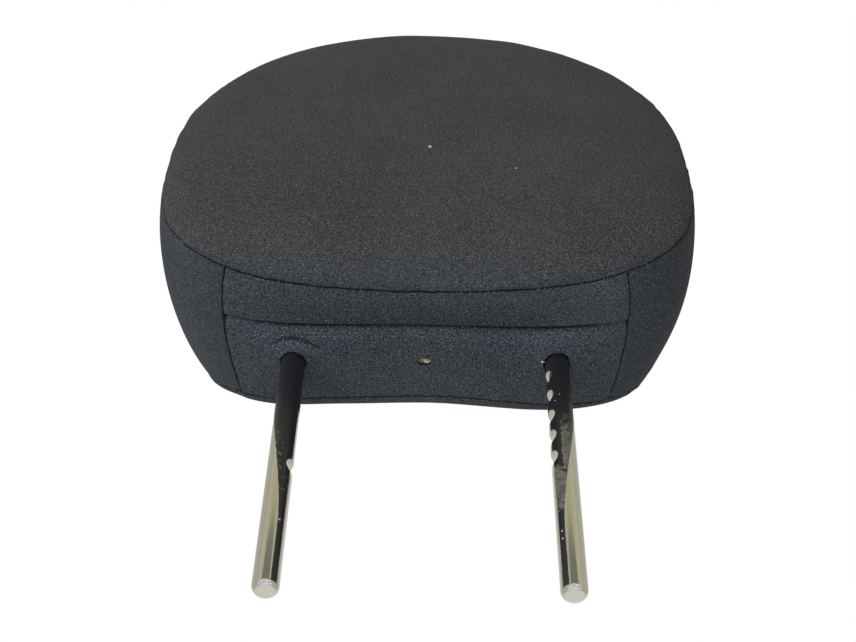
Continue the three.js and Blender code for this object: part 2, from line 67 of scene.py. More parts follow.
def colour(name, description, default):
    return FloatVectorProperty(
        name=name, description=description, default=default, subtype="COLOR", size=3, min=0, max=1
    )


class CushionSizes(bpy.types.PropertyGroup):
    """The cushion's form, with the same sizes as the frame's solids"""

    post_exposed: length("Post below the cushion", "Length of bare post under the cushion", 0.151)
    face_width: length("Face width", "Width of the seam round the face", 0.266)
    face_above: length("Face above", "Face seam's reach above its widest height", 0.126)
    face_below: length("Face below", "Face seam's reach below its widest height", 0.098)
    face_forward: length("Face forward", "How far the face seam lies in front of the posts", 0.0475)
    face_bow: length("Face bow", "How far the face seam comes forward at its sides", -0.013)
    face_lean: length("Face lean", "How far the face seam comes forward towards its top", -0.006)
    face_taper: ratio("Face taper", "Narrowing of the face towards its top", 0.05)
    face_rise: length("Face rise", "Face seam's lowest point above the underside", 0.0015)
    face_crown: length("Face crown", "How far the face swells out of its seam", 0.021)
    corner_bow: length("Corner bow", "How far the corner seams bow outwards", 0.0042)
    face_round: ratio("Face roundness", "How flat the middle of the face is", 2.5)
    face_corner: length("Face corner", "Corner seams' distance from the middle at the face", 0.097)
    back_width: length("Back width", "Width of the seam round the back", 0.239)
    back_above: length("Back above", "Back seam's reach above its widest height", 0.095)
    back_below: length("Back below", "Back seam's reach below its widest height", 0.081)
    back_behind: length("Back behind", "How far the back seam lies behind the posts", 0.027)
    back_bow: length("Back bow", "How far the back seam goes back at its sides", 0.015)
    back_lean: length("Back lean", "How far the back seam goes back towards its top", 0.0024)
    back_taper: ratio("Back taper", "Narrowing of the back towards its top", 0.06)
    back_crown: length("Back crown", "How far the back swells out of its seam", 0.0205)
    back_round: ratio("Back roundness", "How flat the middle of the back is", 3.3)
    back_corner: length("Back corner", "Corner seams' distance from the middle at the back", 0.094)
    round_top: ratio("Top roundness", "Power of the outline's upper half", 2.05)
    round_bottom: ratio("Bottom roundness", "Power of the outline's lower half", 3.4)
    crown_swell: ratio("Crown swell", "How steeply the padding rises out of its seam", 1.8)
    band_bulge: length("Band bulge", "How far the side band bulges between its seams", 0.007)
    corner_fullness: ratio("Corner fullness", "How far that bulge runs round the lower corners", 4)
    closure: length("Closure", "Flap's width from the face seam to its free edge", 0.0225)
    closure_sweep: length("Closure sweep", "Extra width of the flap at its ends", 0.0065)
    recess: length("Recess", "How far the closure draws the underside in", 0.0032)
    recess_reach: length("Recess reach", "How far from the closure the underside is drawn in", 0.013)


class CoverMaking(bpy.types.PropertyGroup):
    """How the cover is cut, sewn and stretched"""

    thickness: length("Cloth", "Thickness of the laminated cloth", 0.0018)
    seam_roll: length("Seam roll", "Radius at which the cloth rolls into a seam", 0.00042)
    seam_depth: length("Seam allowance", "How far the turned-in edge shows", 0.0045)
    seam_dip: length("Seam dip", "How far a seam pulls the padding in", 0.0007)
    pucker: length("Pucker", "Height of the puckers along a seam", 0.0004)
    pucker_pitch: length("Pucker pitch", "Distance between puckers", 0.0042)
    flap_edge: length("Flap edge", "How far the flap's free edge lies over the lower piece", 0.0026)
    flap_ramp: length("Flap ramp", "How soon the lower piece comes up behind the flap", 0.009)
    flap_overlap: length("Flap overlap", "How far the lower piece runs under the flap", 0.0065)
    hole: length("Post hole", "Radius of the holes round the posts", 0.0064)
    slit_width: length("Fill slit width", "Width of the slit the foam was filled through", 0.0064)
    slit_height: length("Fill slit height", "Height of that slit", 0.0036)
    pressure: ratio("Pressure", "Pressure of the foam on the cover while it settles", 2.2)
    settle: length("Settling", "How far the settling cover may move", 0.0022)


class HeadrestLooks(bpy.types.PropertyGroup):
    """Colours of the cloth, plating and foam"""

    # The face cloth and the lower cloth are one cloth: the lower colour's blue is a painted tint of the
    # bluish light from below
    face_cloth: colour("Face cloth", "Colour of the face and side cloth", (0.0565, 0.057, 0.0545))
    band_cloth: colour("Lower cloth", "Colour of the cloth underneath", (0.052, 0.0575, 0.068))
    spark: colour("Spark", "Colour of the shining fibres", (0.23, 0.245, 0.28))
    face_fleck: ratio("Face fleck", "Contrast of the fleck in the face cloth", 0.75)
    lower_fleck: ratio("Lower fleck", "Contrast of the fleck in the cloth underneath", 1.85)
    grain: length("Grain", "Size of the fleck", 0.00085)
    rib: ratio("Rib", "Contrast of the twill's diagonal ribs", 0.3)
    thread: length("Thread", "Width of one thread of the twill", 0.00026)
    plating: colour("Plating", "Colour of the chrome plating", (0.8, 0.79, 0.77))
    # Painted dark reflection: the colour of the shaded cushion as the plating mirrors it, not a film on
    # the posts
    dark_reflection: colour("Film", "Colour of the worn film on the posts", (0.014, 0.0145, 0.017))
    dust: colour("Dust", "Colour of the dust on the posts", (0.2, 0.195, 0.165))
    foam: colour("Foam", "Colour of the moulded foam", (0.66, 0.6, 0.42))


# Bits of lint on the face: place and radius in metres
LINT = (
    ((0.0007, -0.0687, 0.2402), 0.0011),
    ((0.0444, -0.066, 0.2231), 0.0011),
    ((0.0625, -0.064, 0.2133), 0.0008),
    ((0.0865, -0.062, 0.288), 0.0007),
    ((0.0942, -0.06, 0.2168), 0.0007),
)
# Dried drops on the posts: place and radius in metres
DROPS = (
    ((0.0611, -0.0046, 0.033), 0.00045),
    ((0.0611, -0.0046, 0.0285), 0.00045),
    ((0.0645, -0.006, 0.121), 0.0003),
    ((0.0622, -0.0053, 0.117), 0.0003),
    ((-0.0618, -0.005, 0.037), 0.0005),
)
LINT_COLOUR = (0.5, 0.5, 0.48, 1)
DROP_COLOUR = (0.6, 0.6, 0.58, 1)
# Height above which the painted dark reflection goes all round a post
DARK_REFLECTION_HEIGHT = 0.1105
# Distances from a post's axis between which the bright cut of a notch gives way to the painted dark
# reflection
UNCUT = (0.0056, 0.00585)
# Across a post as the picture shows it: shares of the outward and the backward direction
ACROSS_VIEW = (0.993, -0.118)


class BarSizes(bpy.types.PropertyGroup):
    """The bent bar, with the same sizes as the frame's solid"""

    diameter: length("Diameter", "Diameter of the bar", 0.012)
    spacing: length("Spacing", "Distance between the posts", 0.13)
    inside: length("Inside", "Length of post inside the cushion", 0.128)
    bend: length("Bend", "Radius of the two bends", 0.03)
    tip: length("Tip", "Length of the rounded post end", 0.0036)
    tip_face: length("Tip face", "Diameter of the flat on a post end", 0.0074)
    notch_depth: length("Notch depth", "Depth of a latch notch", 0.0028)
    notch_height: length("Notch height", "Height of a latch notch", 0.009)
    notch_pitch: length("Notch pitch", "Distance between the notches", 0.014)
    notch_count: IntProperty(name="Notches", description="Notches on the right post", default=5)
    right_notch: length("First right notch", "Height of the right post's lowest notch", 0.081)
    left_notch: length("Left notch", "Height of the left post's notch", 0.073)


class StudioSettings(bpy.types.PropertyGroup):
    """Camera, light and floor"""

    focal: FloatProperty(name="Focal length", description="Camera lens, in mm", default=65.61)
    key: FloatProperty(name="Key light", description="Power of the main lamp, in watts", default=17.5)
    fill: FloatProperty(name="Fill light", description="Power of the fill lamp, in watts", default=2.5)
    room: FloatProperty(name="Room light", description="Strength of the even light", default=0.5)
    floor: colour("Floor", "Colour of the floor", (0.8, 0.8, 0.79))


# Form of the cushion, worked out in arrays. Columns run round the band, the first of them between
# the corner seams, and rows run back from the face seam, the first of them over the flap
COLUMNS = 320
BOTTOM_COLUMNS = 84
QUARTER = COLUMNS // 4
BAND_ROWS = 30
FLAP_ROWS = 10
# The column at which the face's square grid has its first corner
FIRST_CORNER = 2
# Reach of a corner seam's bow, in columns
CORNER_FADE = 9
# Distances from the middle at which a seam's bow, and its lean and taper, have their full sizes
BOW_REACH = 0.145
LEAN_REACH = 0.1
OUTLINE_SAMPLES = 2880
CROWN_SAMPLES = 600
PLAN_PASSES = 400
FINE_PLAN_PASSES = 60
FACE, SIDE, BACK, FLAP, LOWER = range(5)


PANEL_SIZES = ("above", "below", "bow", "lean", "taper", "crown", "round", "corner")


def panels(s):
    """The face seam and the back seam as two outlines with a crown each"""
    made = []
    sides = (("face", s.face_rise, -s.face_forward, -1), ("back", 0, s.back_behind, 1))
    for side, rise, depth, way in sides:
        panel = SimpleNamespace(**{name: getattr(s, f"{side}_{name}") for name in PANEL_SIZES})
        panel.half = getattr(s, side + "_width") / 2
        panel.middle = s.post_exposed + rise + panel.below
        panel.depth = depth
        panel.crown *= way
        panel.swell = s.crown_swell
        trace_outline(panel, s)
        made.append(panel)
    return made


def panel_depth(panel, x, z):
    """How far back the plane of a panel's seam lies"""
    return panel.depth + panel.bow * (x / BOW_REACH) ** 2 + panel.lean * (z - panel.middle) / LEAN_REACH


def trace_outline(panel, s):
    """A panel's seam as points, with the length along it and its radius in each direction"""
    turn = np.linspace(-math.pi / 2, 1.5 * math.pi, OUTLINE_SAMPLES + 1)
    across, up = np.cos(turn), np.sin(turn)
    power = np.where(up >= 0, 2 / s.round_top, 2 / s.round_bottom)
    reach = np.where(up >= 0, panel.above, panel.below)
    rise = np.sign(up) * reach * np.abs(up) ** power
    width = panel.half * (1 - panel.taper * rise / LEAN_REACH)
    x = np.sign(across) * width * np.abs(across) ** power
    z = panel.middle + rise
    panel.points = np.stack([x, panel_depth(panel, x, z), z], 1)
    steps = np.linalg.norm(np.diff(panel.points, axis=0), axis=1)
    panel.lengths = np.concatenate([[0], np.cumsum(steps)])
    panel.total = panel.lengths[-1]
    panel.corner_run = panel.lengths[np.argmax(x >= panel.corner)]
    order = np.argsort(np.arctan2(z[:-1] - panel.middle, x[:-1]))
    panel.angles = np.arctan2(z[:-1] - panel.middle, x[:-1])[order]
    panel.radii = np.hypot(x[:-1], z[:-1] - panel.middle)[order]


def seam_at(panel, column):
    """Points of a panel's seam: column 0 is the left corner seam, BOTTOM_COLUMNS the right one"""
    turn = np.mod(column, COLUMNS)
    along = (turn - BOTTOM_COLUMNS) / (COLUMNS - BOTTOM_COLUMNS)
    bottom = (2 * turn / BOTTOM_COLUMNS - 1) * panel.corner_run
    sides = panel.corner_run + along * (panel.total - 2 * panel.corner_run)
    run = np.mod(np.where(turn <= BOTTOM_COLUMNS, bottom, sides), panel.total)
    return np.stack([np.interp(run, panel.lengths, panel.points[:, k]) for k in range(3)], -1)


def closure_share(s, band_width, seam):
    """Where the flap ends, as a share of the band's width"""
    sweep = s.closure_sweep * np.minimum(np.abs(seam[..., 0]) / s.face_corner, 1) ** 2
    return (s.closure + sweep) / band_width


def band_grid(s, face, back, fineness):
    """Points of the band between the seams, rows from the face to the back"""
    column = np.arange(COLUMNS * fineness) / fineness
    seam, rear = seam_at(face, column), seam_at(back, column)
    width = np.linalg.norm(seam - rear, axis=1)
    ahead = seam_at(face, column + 1) - seam_at(face, column - 1)
    out = np.stack([ahead[:, 2], 0 * column, -ahead[:, 0]], 1)
    out /= np.linalg.norm(out, axis=1, keepdims=True)
    level = np.maximum(0, -out[:, 2]) ** s.corner_fullness
    share = closure_share(s, width, seam)
    past = np.minimum(np.mod(-column, COLUMNS), np.mod(column - BOTTOM_COLUMNS, COLUMNS))
    fade = np.where(column <= BOTTOM_COLUMNS, 1, np.clip(1 - past / QUARTER * 3, 0, 1))
    fade = smooth(fade)
    turn_row = fade * share + (1 - fade) * FLAP_ROWS / BAND_ROWS
    row = np.arange(BAND_ROWS * fineness + 1)[:, None] / fineness
    before = turn_row * row / FLAP_ROWS
    after = turn_row + (1 - turn_row) * (row - FLAP_ROWS) / (BAND_ROWS - FLAP_ROWS)
    place = np.where(row <= FLAP_ROWS, before, after)
    left = bump(np.mod(column + COLUMNS / 2, COLUMNS) - COLUMNS / 2, CORNER_FADE)
    right = bump(column - BOTTOM_COLUMNS, CORNER_FADE)
    middle = 4 * place * (1 - place)
    bowed = column + (right - left) * s.corner_bow * COLUMNS / face.total * middle
    seam, rear = seam_at(face, bowed), seam_at(back, bowed)
    bulge = s.band_bulge * middle * (1 - level)
    in_middle = np.maximum(0, 1 - (seam[..., 0] / s.face_corner) ** 4) * level
    gap = (place - share) * width / s.recess_reach
    edges = np.minimum(1, 4 * middle)
    drawn = s.recess * np.exp(-gap * gap) * in_middle * edges
    return seam + (rear - seam) * place[..., None] + out * (bulge - drawn)[..., None]


def plan_inside(loop):
    """A square grid of points inside a closed loop"""
    q = len(loop) // 4
    low, right = loop[: q + 1], loop[q : 2 * q + 1]
    top = loop[2 * q : 3 * q + 1][::-1]
    left = np.concatenate([loop[3 * q :], loop[:1]])[::-1]
    u = np.linspace(0, 1, q + 1)[None, :, None]
    v = np.linspace(0, 1, q + 1)[:, None, None]
    corners = (1 - u) * (1 - v) * low[0] + u * (1 - v) * low[-1] + (1 - u) * v * top[0] + u * v * top[-1]
    grid = (1 - v) * low[None] + v * top[None] + (1 - u) * left[:, None] + u * right[:, None] - corners
    return evened(grid, PLAN_PASSES)


def finer_plan(plan, loop):
    """The same grid with twice as many points each way, inside the finer loop"""
    grid = finer(finer(plan, 0, False), 1, False)
    lay_edge(grid, loop, len(loop) // 4)
    return evened(grid, FINE_PLAN_PASSES)


def evened(grid, passes):
    """Draws each inner point of a grid towards the middle of its neighbours"""
    for _ in range(passes):
        grid[1:-1, 1:-1] = (grid[:-2, 1:-1] + grid[2:, 1:-1] + grid[1:-1, :-2] + grid[1:-1, 2:]) / 4
    return grid


def outline_share(panel, x, z):
    """How far out a point lies: 0 at the panel's middle, 1 on its seam"""
    angle = np.arctan2(z - panel.middle, x)
    return np.hypot(x, z - panel.middle) / np.interp(angle, panel.angles, panel.radii, period=2 * math.pi)


def panel_grid(panel, loop, plan):
    """Points of the face or the back: closer together where the crown is steep"""
    inner = plan[1:-1, 1:-1]
    share = outline_share(panel, inner[..., 0], inner[..., 1])
    steps, run = crown_run(panel)
    even = np.interp(share, run / run[-1], steps)
    scale = even / np.maximum(share, 1e-9)
    x = inner[..., 0] * scale
    z = panel.middle + (inner[..., 1] - panel.middle) * scale
    points = np.empty(plan.shape[:2] + (3,))
    points[1:-1, 1:-1] = dome(panel, x, z, even)
    lay_edge(points, loop, len(loop) // 4)
    return points


def crown_run(panel):
    """Length over the crown from the panel's middle outwards, in units of its plan radius"""
    steps = np.linspace(0, 1, CROWN_SAMPLES)
    reach = (panel.half + (panel.above + panel.below) / 2) / 2
    swell = (1 - steps**panel.round) ** (1 / panel.swell)
    pieces = np.hypot(np.diff(steps), np.diff(swell) * panel.crown / reach)
    return steps, np.concatenate([[0], np.cumsum(pieces)])


def dome(panel, x, z, share):
    """Points on a panel's crown"""
    y = panel_depth(panel, x, z) + panel.crown * (1 - share**panel.round) ** (1 / panel.swell)
    return np.stack([x, y, z], -1)


def corner_loop(seam_row):
    """A seam's points from the square grid's first corner on"""
    return np.roll(seam_row, -FIRST_CORNER * len(seam_row) // COLUMNS, axis=0)


def lay_edge(grid, loop, q):
    """Puts a loop round the edge of a square grid"""
    grid[0, :] = loop[: q + 1]
    grid[:, q] = loop[q : 2 * q + 1]
    grid[q, ::-1] = loop[2 * q : 3 * q + 1]
    grid[::-1, 0] = np.concatenate([loop[3 * q :], loop[:1]])


class Skin:
    """The cushion's whole surface as one welded set of points and quads"""

    def __init__(self, band, face, back):
        self.columns = band.shape[1]
        self.rows = band.shape[0] - 1
        self.q = self.columns // 4
        self.scale = self.columns // COLUMNS
        self.band_count = (self.rows + 1) * self.columns
        inner = (self.q - 1) ** 2
        self.points = np.concatenate(
            [band.reshape(-1, 3), face[1:-1, 1:-1].reshape(-1, 3), back[1:-1, 1:-1].reshape(-1, 3)]
        )
        self.band_ids = np.arange(self.band_count).reshape(self.rows + 1, self.columns)
        self.face_ids = self.square_ids(self.band_count, 0)
        self.back_ids = self.square_ids(self.band_count + inner, self.rows)
        self.collect_quads()

    def square_ids(self, start, row):
        q = self.q
        ids = np.empty((q + 1, q + 1), int)
        ids[1:-1, 1:-1] = start + np.arange((q - 1) ** 2).reshape(q - 1, q - 1)
        lay_edge(ids, np.roll(self.band_ids[row], -FIRST_CORNER * self.scale), q)
        return ids

    def collect_quads(self):
        def quads(ids):
            return np.stack([ids[:-1, :-1], ids[:-1, 1:], ids[1:, 1:], ids[1:, :-1]], -1).reshape(-1, 4)

        ring = np.concatenate([self.band_ids, self.band_ids[:, :1]], 1)
        band = quads(ring)[:, ::-1]
        row, column = np.divmod(np.arange(len(band)), self.columns)
        under = column < BOTTOM_COLUMNS * self.scale
        flap = row < FLAP_ROWS * self.scale
        band_part = np.where(under, np.where(flap, FLAP, LOWER), SIDE)
        face, back = quads(self.face_ids), quads(self.back_ids)[:, ::-1]
        self.quads = np.concatenate([band, face, back])
        self.part = np.concatenate([band_part, np.full(len(face), FACE), np.full(len(back), BACK)])

    def underside(self):
        """Points between the corner seams, in rows from the face seam to the back seam"""
        return self.band_ids[:, : BOTTOM_COLUMNS * self.scale + 1]

    def runs_down(self):
        """Length from the face seam to each point of the band"""
        steps = np.linalg.norm(np.diff(self.points[self.band_ids], axis=0), axis=2)
        return np.concatenate([np.zeros((1, self.columns)), np.cumsum(steps, axis=0)])

    def normals(self):
        return point_normals(self.points, self.quads)


def unit(vectors):
    """Vectors made one long"""
    return vectors / np.maximum(np.linalg.norm(vectors, axis=-1, keepdims=True), 1e-12)


def point_normals(points, quads):
    """Outward direction at each point, from the quads round it"""
    a, b, c, d = (points[quads[:, k]] for k in range(4))
    flat = np.cross(c - a, d - b)
    normals = np.zeros_like(points)
    for k in range(4):
        np.add.at(normals, quads[:, k], flat)
    return unit(normals)


def finer(grid, axis, closed):
    """Twice as many points along one axis, on a smooth curve through the old ones"""
    p = np.moveaxis(grid, axis, 0)
    if closed:
        wide = np.concatenate([p[-1:], p, p[:2]])
    else:
        start = 3 * p[0] - 3 * p[1] + p[2]
        end = 3 * p[-1] - 3 * p[-2] + p[-3]
        wide = np.concatenate([start[None], p, end[None]])
    middle = (9 * (wide[1:-2] + wide[2:-1]) - wide[:-3] - wide[3:]) / 16
    fine = np.empty((len(p) + len(middle),) + p.shape[1:])
    fine[::2] = p
    fine[1::2] = middle
    return np.moveaxis(fine, 0, axis)


def finer_steps(coarse, fine, steps):
    """Moves worked out for a coarse skin, carried over to the finer one"""
    moves = np.zeros_like(fine.points)
    band = finer(finer(steps[coarse.band_ids], 1, True), 0, False)
    moves[fine.band_ids] = band
    for name in ("face_ids", "back_ids"):
        square = finer(finer(steps[getattr(coarse, name)], 0, False), 1, False)
        moves[getattr(fine, name)[1:-1, 1:-1]] = square[1:-1, 1:-1]
    return moves


# A distance that counts as out of reach, and one that counts as none
FAR = 1.0
TOUCHING = 1e-6

# Settling of the sewn cover over the foam
SETTLE_FRAMES = 20
SETTLE_CLOTH = {
    "quality": 6,
    "mass": 0.35,
    "tension_stiffness": 30,
    "compression_stiffness": 30,
    "shear_stiffness": 12,
    "bending_stiffness": 0.6,
    "air_damping": 4,
    "use_pressure": True,
    "shrink_min": 0.0,
    "shrink_max": -0.035,
}
# How firmly the closure and the loose cloth are held, and how far a seam gathers the cloth
CLOSURE_HOLD = 0.7
LOOSE_HOLD = 0.12
SEAM_GATHER = 0.012
CORNER_GATHER = 0.01
LEAST_GATHER = 0.02


def mesh_object(name, points, faces):
    """A new object in the scene, from points and faces"""
    mesh = bpy.data.meshes.new(name)
    mesh.from_pydata(np.asarray(points).tolist(), [], np.asarray(faces).tolist())
    mesh.update()
    piece = bpy.data.objects.new(name, mesh)
    bpy.context.scene.collection.objects.link(piece)
    return piece


def pick(piece):
    """Makes a piece the only one selected, and the active one"""
    bpy.ops.object.select_all(action="DESELECT")
    piece.select_set(True)
    bpy.context.view_layer.objects.active = piece


def settled(skin, making, hold, gather):
    """How the foam's pressure moves the skin between its seams, from a cloth simulation"""
    piece = mesh_object("settling_cover", skin.points, skin.quads)
    pick(piece)
    pins = piece.vertex_groups.new(name="sewn")
    loose = piece.vertex_groups.new(name="gathered")
    for index in np.flatnonzero(hold > 0).tolist():
        pins.add([index], float(hold[index]), "REPLACE")
    for index in np.flatnonzero(gather > LEAST_GATHER).tolist():
        loose.add([index], float(gather[index]), "REPLACE")
    cloth = piece.modifiers.new("settling", "CLOTH")
    for key, value in SETTLE_CLOTH.items():
        setattr(cloth.settings, key, value)
    cloth.settings.uniform_pressure_force = making.pressure
    cloth.settings.vertex_group_mass = pins.name
    cloth.settings.vertex_group_shrink = loose.name
    cloth.settings.effector_weights.gravity = 0
    cloth.collision_settings.use_collision = False
    cloth.point_cache.frame_start = 1
    cloth.point_cache.frame_end = SETTLE_FRAMES
    scene = bpy.context.scene
    for step in range(1, SETTLE_FRAMES + 1):
        scene.frame_set(step)
    bpy.ops.object.modifier_apply(modifier=cloth.name)
    moved = np.empty(len(skin.points) * 3)
    piece.data.vertices.foreach_get("co", moved)
    scene.frame_set(1)
    bpy.data.objects.remove(piece)
    step = moved.reshape(-1, 3) - skin.points
    far = np.linalg.norm(step, axis=1, keepdims=True)
    return step * np.minimum(1, making.settle / np.maximum(far, 1e-9))


def seam_distances(skin, face, back):
    """Each point's distance from the face seam and the back seam, and its run along them"""
    count = len(skin.points)
    near_face, near_back = np.full(count, FAR), np.full(count, FAR)
    face_run, back_run = np.zeros(count), np.zeros(count)
    band = skin.points[skin.band_ids]
    face_lengths = run_along(band[0])
    back_lengths = run_along(band[-1])
    down = skin.runs_down()
    near_face[skin.band_ids] = down
    near_back[skin.band_ids] = down[-1] - down
    face_run[skin.band_ids] = face_lengths
    back_run[skin.band_ids] = back_lengths
    squares = (
        (face, skin.face_ids, band[0], face_lengths, near_face, face_run),
        (back, skin.back_ids, band[-1], back_lengths, near_back, back_run),
    )
    for panel, ids, seam, lengths, near, run in squares:
        inner = ids[1:-1, 1:-1]
        p = skin.points[inner]
        angle = np.arctan2(p[..., 2] - panel.middle, p[..., 0])
        turn = np.unwrap(np.arctan2(seam[:, 2] - panel.middle, seam[:, 0]))
        run[inner] = np.interp(angle, turn, lengths, period=2 * math.pi)
        column = np.interp(angle, turn, np.arange(len(seam)), period=2 * math.pi)
        closest = seam[np.rint(column).astype(int) % len(seam)]
        near[inner] = np.linalg.norm(p - closest, axis=-1)
    return near_face, near_back, face_run, back_run


def run_along(loop):
    """Length along a closed loop to each of its points"""
    steps = np.linalg.norm(np.roll(loop, -1, axis=0) - loop, axis=1)
    return np.concatenate([[0], np.cumsum(steps)[:-1]])


WAVE_KNOTS = 4096
PLANE_WAVES = 9


def wander(run, pitch, seed):
    """A smooth random wave along a line, about -1 to 1, with one knot for each pitch"""
    knots = np.random.RandomState(seed).uniform(-1, 1, WAVE_KNOTS)
    place = run / pitch
    low = np.floor(place).astype(int)
    t = smooth(place - low)
    return knots[low % WAVE_KNOTS] * (1 - t) + knots[(low + 1) % WAVE_KNOTS] * t


def wander_over(points, pitch, seed):
    """The same over a volume, as a sum of plane waves in random directions"""
    total = np.zeros(len(points))
    random = np.random.RandomState(seed)
    for _ in range(PLANE_WAVES):
        direction = unit(random.normal(size=3))
        total += np.sin(points @ direction * 2 * math.pi / pitch + random.uniform(0, 6.28))
    return total / 3


def smooth(share):
    """A share from 0 to 1 with an easy start and end"""
    return share * share * (3 - 2 * share)


def bump(distance, reach):
    """A bell shape: 1 at no distance, falling away over its reach"""
    return np.exp(-((distance / reach) ** 2))


# The fold beside the left post: three points on its arc, as x and y in metres
LEFT_FOLD = ((-0.0748, -0.0096), (-0.0633, -0.0123), (-0.0508, -0.0056))
FOLD_DEPTH = 0.0006
FOLD_SHARPNESS = 0.0006
FOLD_SLOPE = 0.0009
FOLD_SLOPE_REACH = 0.006
FOLD_LENGTH = 0.0115
# Cloth pushed up round a post: its side, height and reach
POST_MOUNDS = ((-1, 0.0048, 0.0105), (1, 0.0026, 0.011))
# The padding's fullness round both posts, which fades out in front of them and near the seams
POST_FULLNESS = 0.0036
FULLNESS_REACH = 0.026
FULLNESS_START = -0.0235
FULLNESS_RISE = 0.012
FULLNESS_CLEAR = 0.016
# Fuller spots of the flap: x, y, squash along y, height and reach
FLAP_BULGES = ((-0.077, -0.033, 1.4, 0.0019, 0.017), (0.085, -0.031, 1.5, 0.0011, 0.013))
# Where the padding sags behind the posts: x, y, stretch along x, reach and share
SAGS = ((0.072, 0.034, 1.6, 0.026, 1.0), (-0.079, 0.034, 1.0, 0.02, 0.8))
SAG_DOWN = 0.0018
SAG_BACK = 0.0012
SAG_HEIGHT = 0.04
# The lower edge of the back is lifted between the posts
LIFT = 0.0014
LIFT_PLACE = 0.003
LIFT_REACH = 0.032
# Slow unevenness of the padding: height and pitch
UNEVEN = 0.00035
UNEVEN_PITCH = 0.06


def arc_through(points):
    """Centre and radius of the circle through three points"""
    (ax, ay), (bx, by), (cx, cy) = points
    d = 2 * (ax * (by - cy) + bx * (cy - ay) + cx * (ay - by))
    a, b, c = ax * ax + ay * ay, bx * bx + by * by, cx * cx + cy * cy
    x = (a * (by - cy) + b * (cy - ay) + c * (ay - by)) / d
    y = (a * (cx - bx) + b * (ax - cx) + c * (bx - ax)) / d
    return x, y, math.hypot(ax - x, ay - y)


def sewn_details(skin, face, back, sizes, making, bar):
    """Moves of the fine skin that sewing and use give it"""
    p = skin.points
    x, y, z = p.T
    near_face, near_back, face_run, back_run = seam_distances(skin, face, back)
    corner = corner_distance(skin)
    under = np.zeros(len(p), bool)
    under[skin.underside()] = True
    move = seam_moves(skin, making, ((near_face, face_run, 3), (near_back, back_run, 5)), corner)
    clear = np.clip(np.minimum(near_back, corner) / FULLNESS_CLEAR, 0, 1)
    below = post_moves(x, y, bar.spacing / 2, clear)
    below += fold_move(x, y)
    move += np.where(under, below, 0)
    on_flap = (near_face < sizes.closure * 1.6) & under
    for at_x, at_y, squash, height, reach in FLAP_BULGES:
        spot = bump(np.hypot(x - at_x, (y - at_y) * squash), reach)
        move += np.where(on_flap, height * spot, 0)
    skin.points = p + skin.normals() * move[:, None]

    sag = np.zeros(len(p))
    for at_x, at_y, wide, reach, share in SAGS:
        sag += share * bump(np.hypot((x - at_x) / wide, y - at_y), reach)
    low = np.clip((sizes.post_exposed + SAG_HEIGHT - z) / SAG_HEIGHT, 0, 1)
    behind = np.clip((y - 0.004) / 0.018, 0, 1)
    lift = LIFT * bump(x - LIFT_PLACE, LIFT_REACH) * behind
    skin.points[:, 2] += (lift - SAG_DOWN * sag) * low
    skin.points[:, 1] += SAG_BACK * sag * low


def seam_moves(skin, making, seams, corner):
    """Puckers and dips along the seams, and the padding's unevenness away from them"""
    p, pitch, pucker = skin.points, making.pucker_pitch, making.pucker
    on_face = np.zeros(len(p), bool)
    on_face[skin.face_ids[1:-1, 1:-1]] = True
    move = np.zeros(len(p))
    for near, run, seed in seams:
        wave = np.where(on_face, wander(run, pitch, seed), wander(run, pitch, seed + 20))
        long_wave = wander(run, pitch * 4, seed + 40)
        reach = 0.0032 + 0.0016 * wander(run, pitch * 1.7, seed + 60)
        move += pucker * (wave * bump(near, reach) + 0.8 * long_wave * bump(near, 0.009))
        move -= making.seam_dip * np.exp(-near / SEAM_DIP_REACH)
    nearest = np.minimum(seams[0][0], seams[1][0])
    move += UNEVEN * wander_over(p, UNEVEN_PITCH, 11) * (1 - bump(nearest, 0.01))
    wave = wander(p[:, 1] + 0.5, pitch * 1.2, 31)
    move += pucker * 0.8 * wave * bump(corner, 0.004)
    return move - making.seam_dip * np.exp(-corner / SEAM_DIP_REACH)


def post_moves(x, y, post, clear):
    """Cloth pushed up round the posts, and drawn in round the fill slit"""
    clear = np.where(y > FULLNESS_START, smooth(clear), 0)
    rise = np.clip((y - FULLNESS_START) / FULLNESS_RISE, 0, 1)
    move = -0.0007 * bump(np.hypot(x - SLIT_PLACE[0], y - SLIT_PLACE[1]), 0.006)
    for side, mound, wide in POST_MOUNDS:
        reach = np.hypot(x - side * post, y)
        move += POST_FULLNESS * bump(reach, FULLNESS_REACH) * rise * clear + mound * bump(reach, wide)
    return move


def fold_move(x, y):
    """The fold beside the left post: sharp on the arc, and shallow outside it"""
    cx, cy, radius = arc_through(LEFT_FOLD)
    arc = np.hypot(x - cx, y - cy) - radius
    window = bump(np.hypot(x - LEFT_FOLD[1][0], y - LEFT_FOLD[1][1]), FOLD_LENGTH)
    line = FOLD_DEPTH * bump(arc, FOLD_SHARPNESS)
    slope = FOLD_SLOPE * bump(arc, FOLD_SLOPE_REACH) * (arc > 0)
    return -(line + slope) * window


def corner_distance(skin):
    """Distance of each band point from the nearer of the two corner seams"""
    band = skin.points[skin.band_ids]
    distance = np.full(len(skin.points), FAR)
    for column in (0, BOTTOM_COLUMNS * skin.scale):
        gap = np.linalg.norm(band - band[:, column : column + 1], axis=2)
        distance[skin.band_ids] = np.minimum(distance[skin.band_ids], gap)
    return distance


# One cover piece, cut out of the skin, with its edges turned in
ROLL_STEPS = (0.25, 0.5, 0.75, 1.0)
SEWN_GAP = 0.00012
SEAM_DIP_REACH = 0.0018
EDGE_REACH = 0.0022
LEAD_SHARE = 0.985
TUCK_DROP = 0.0001
# How much the roll's radius varies along a seam, and over what length
ROLL_CHANGE = 0.55
ROLL_PITCH = 0.0037
# Roll of the flap's free edge, and the widest roll and the depth of a hole's edge
FLAP_ROLL = 0.0009
HOLE_ROLL = 0.0008
HOLE_DEPTH = 0.0018
# Shares of an opening's size within which points belong to its rim, and a loop is its edge
RIM_SHARE = 1.6
LOOP_SHARE = 2.5
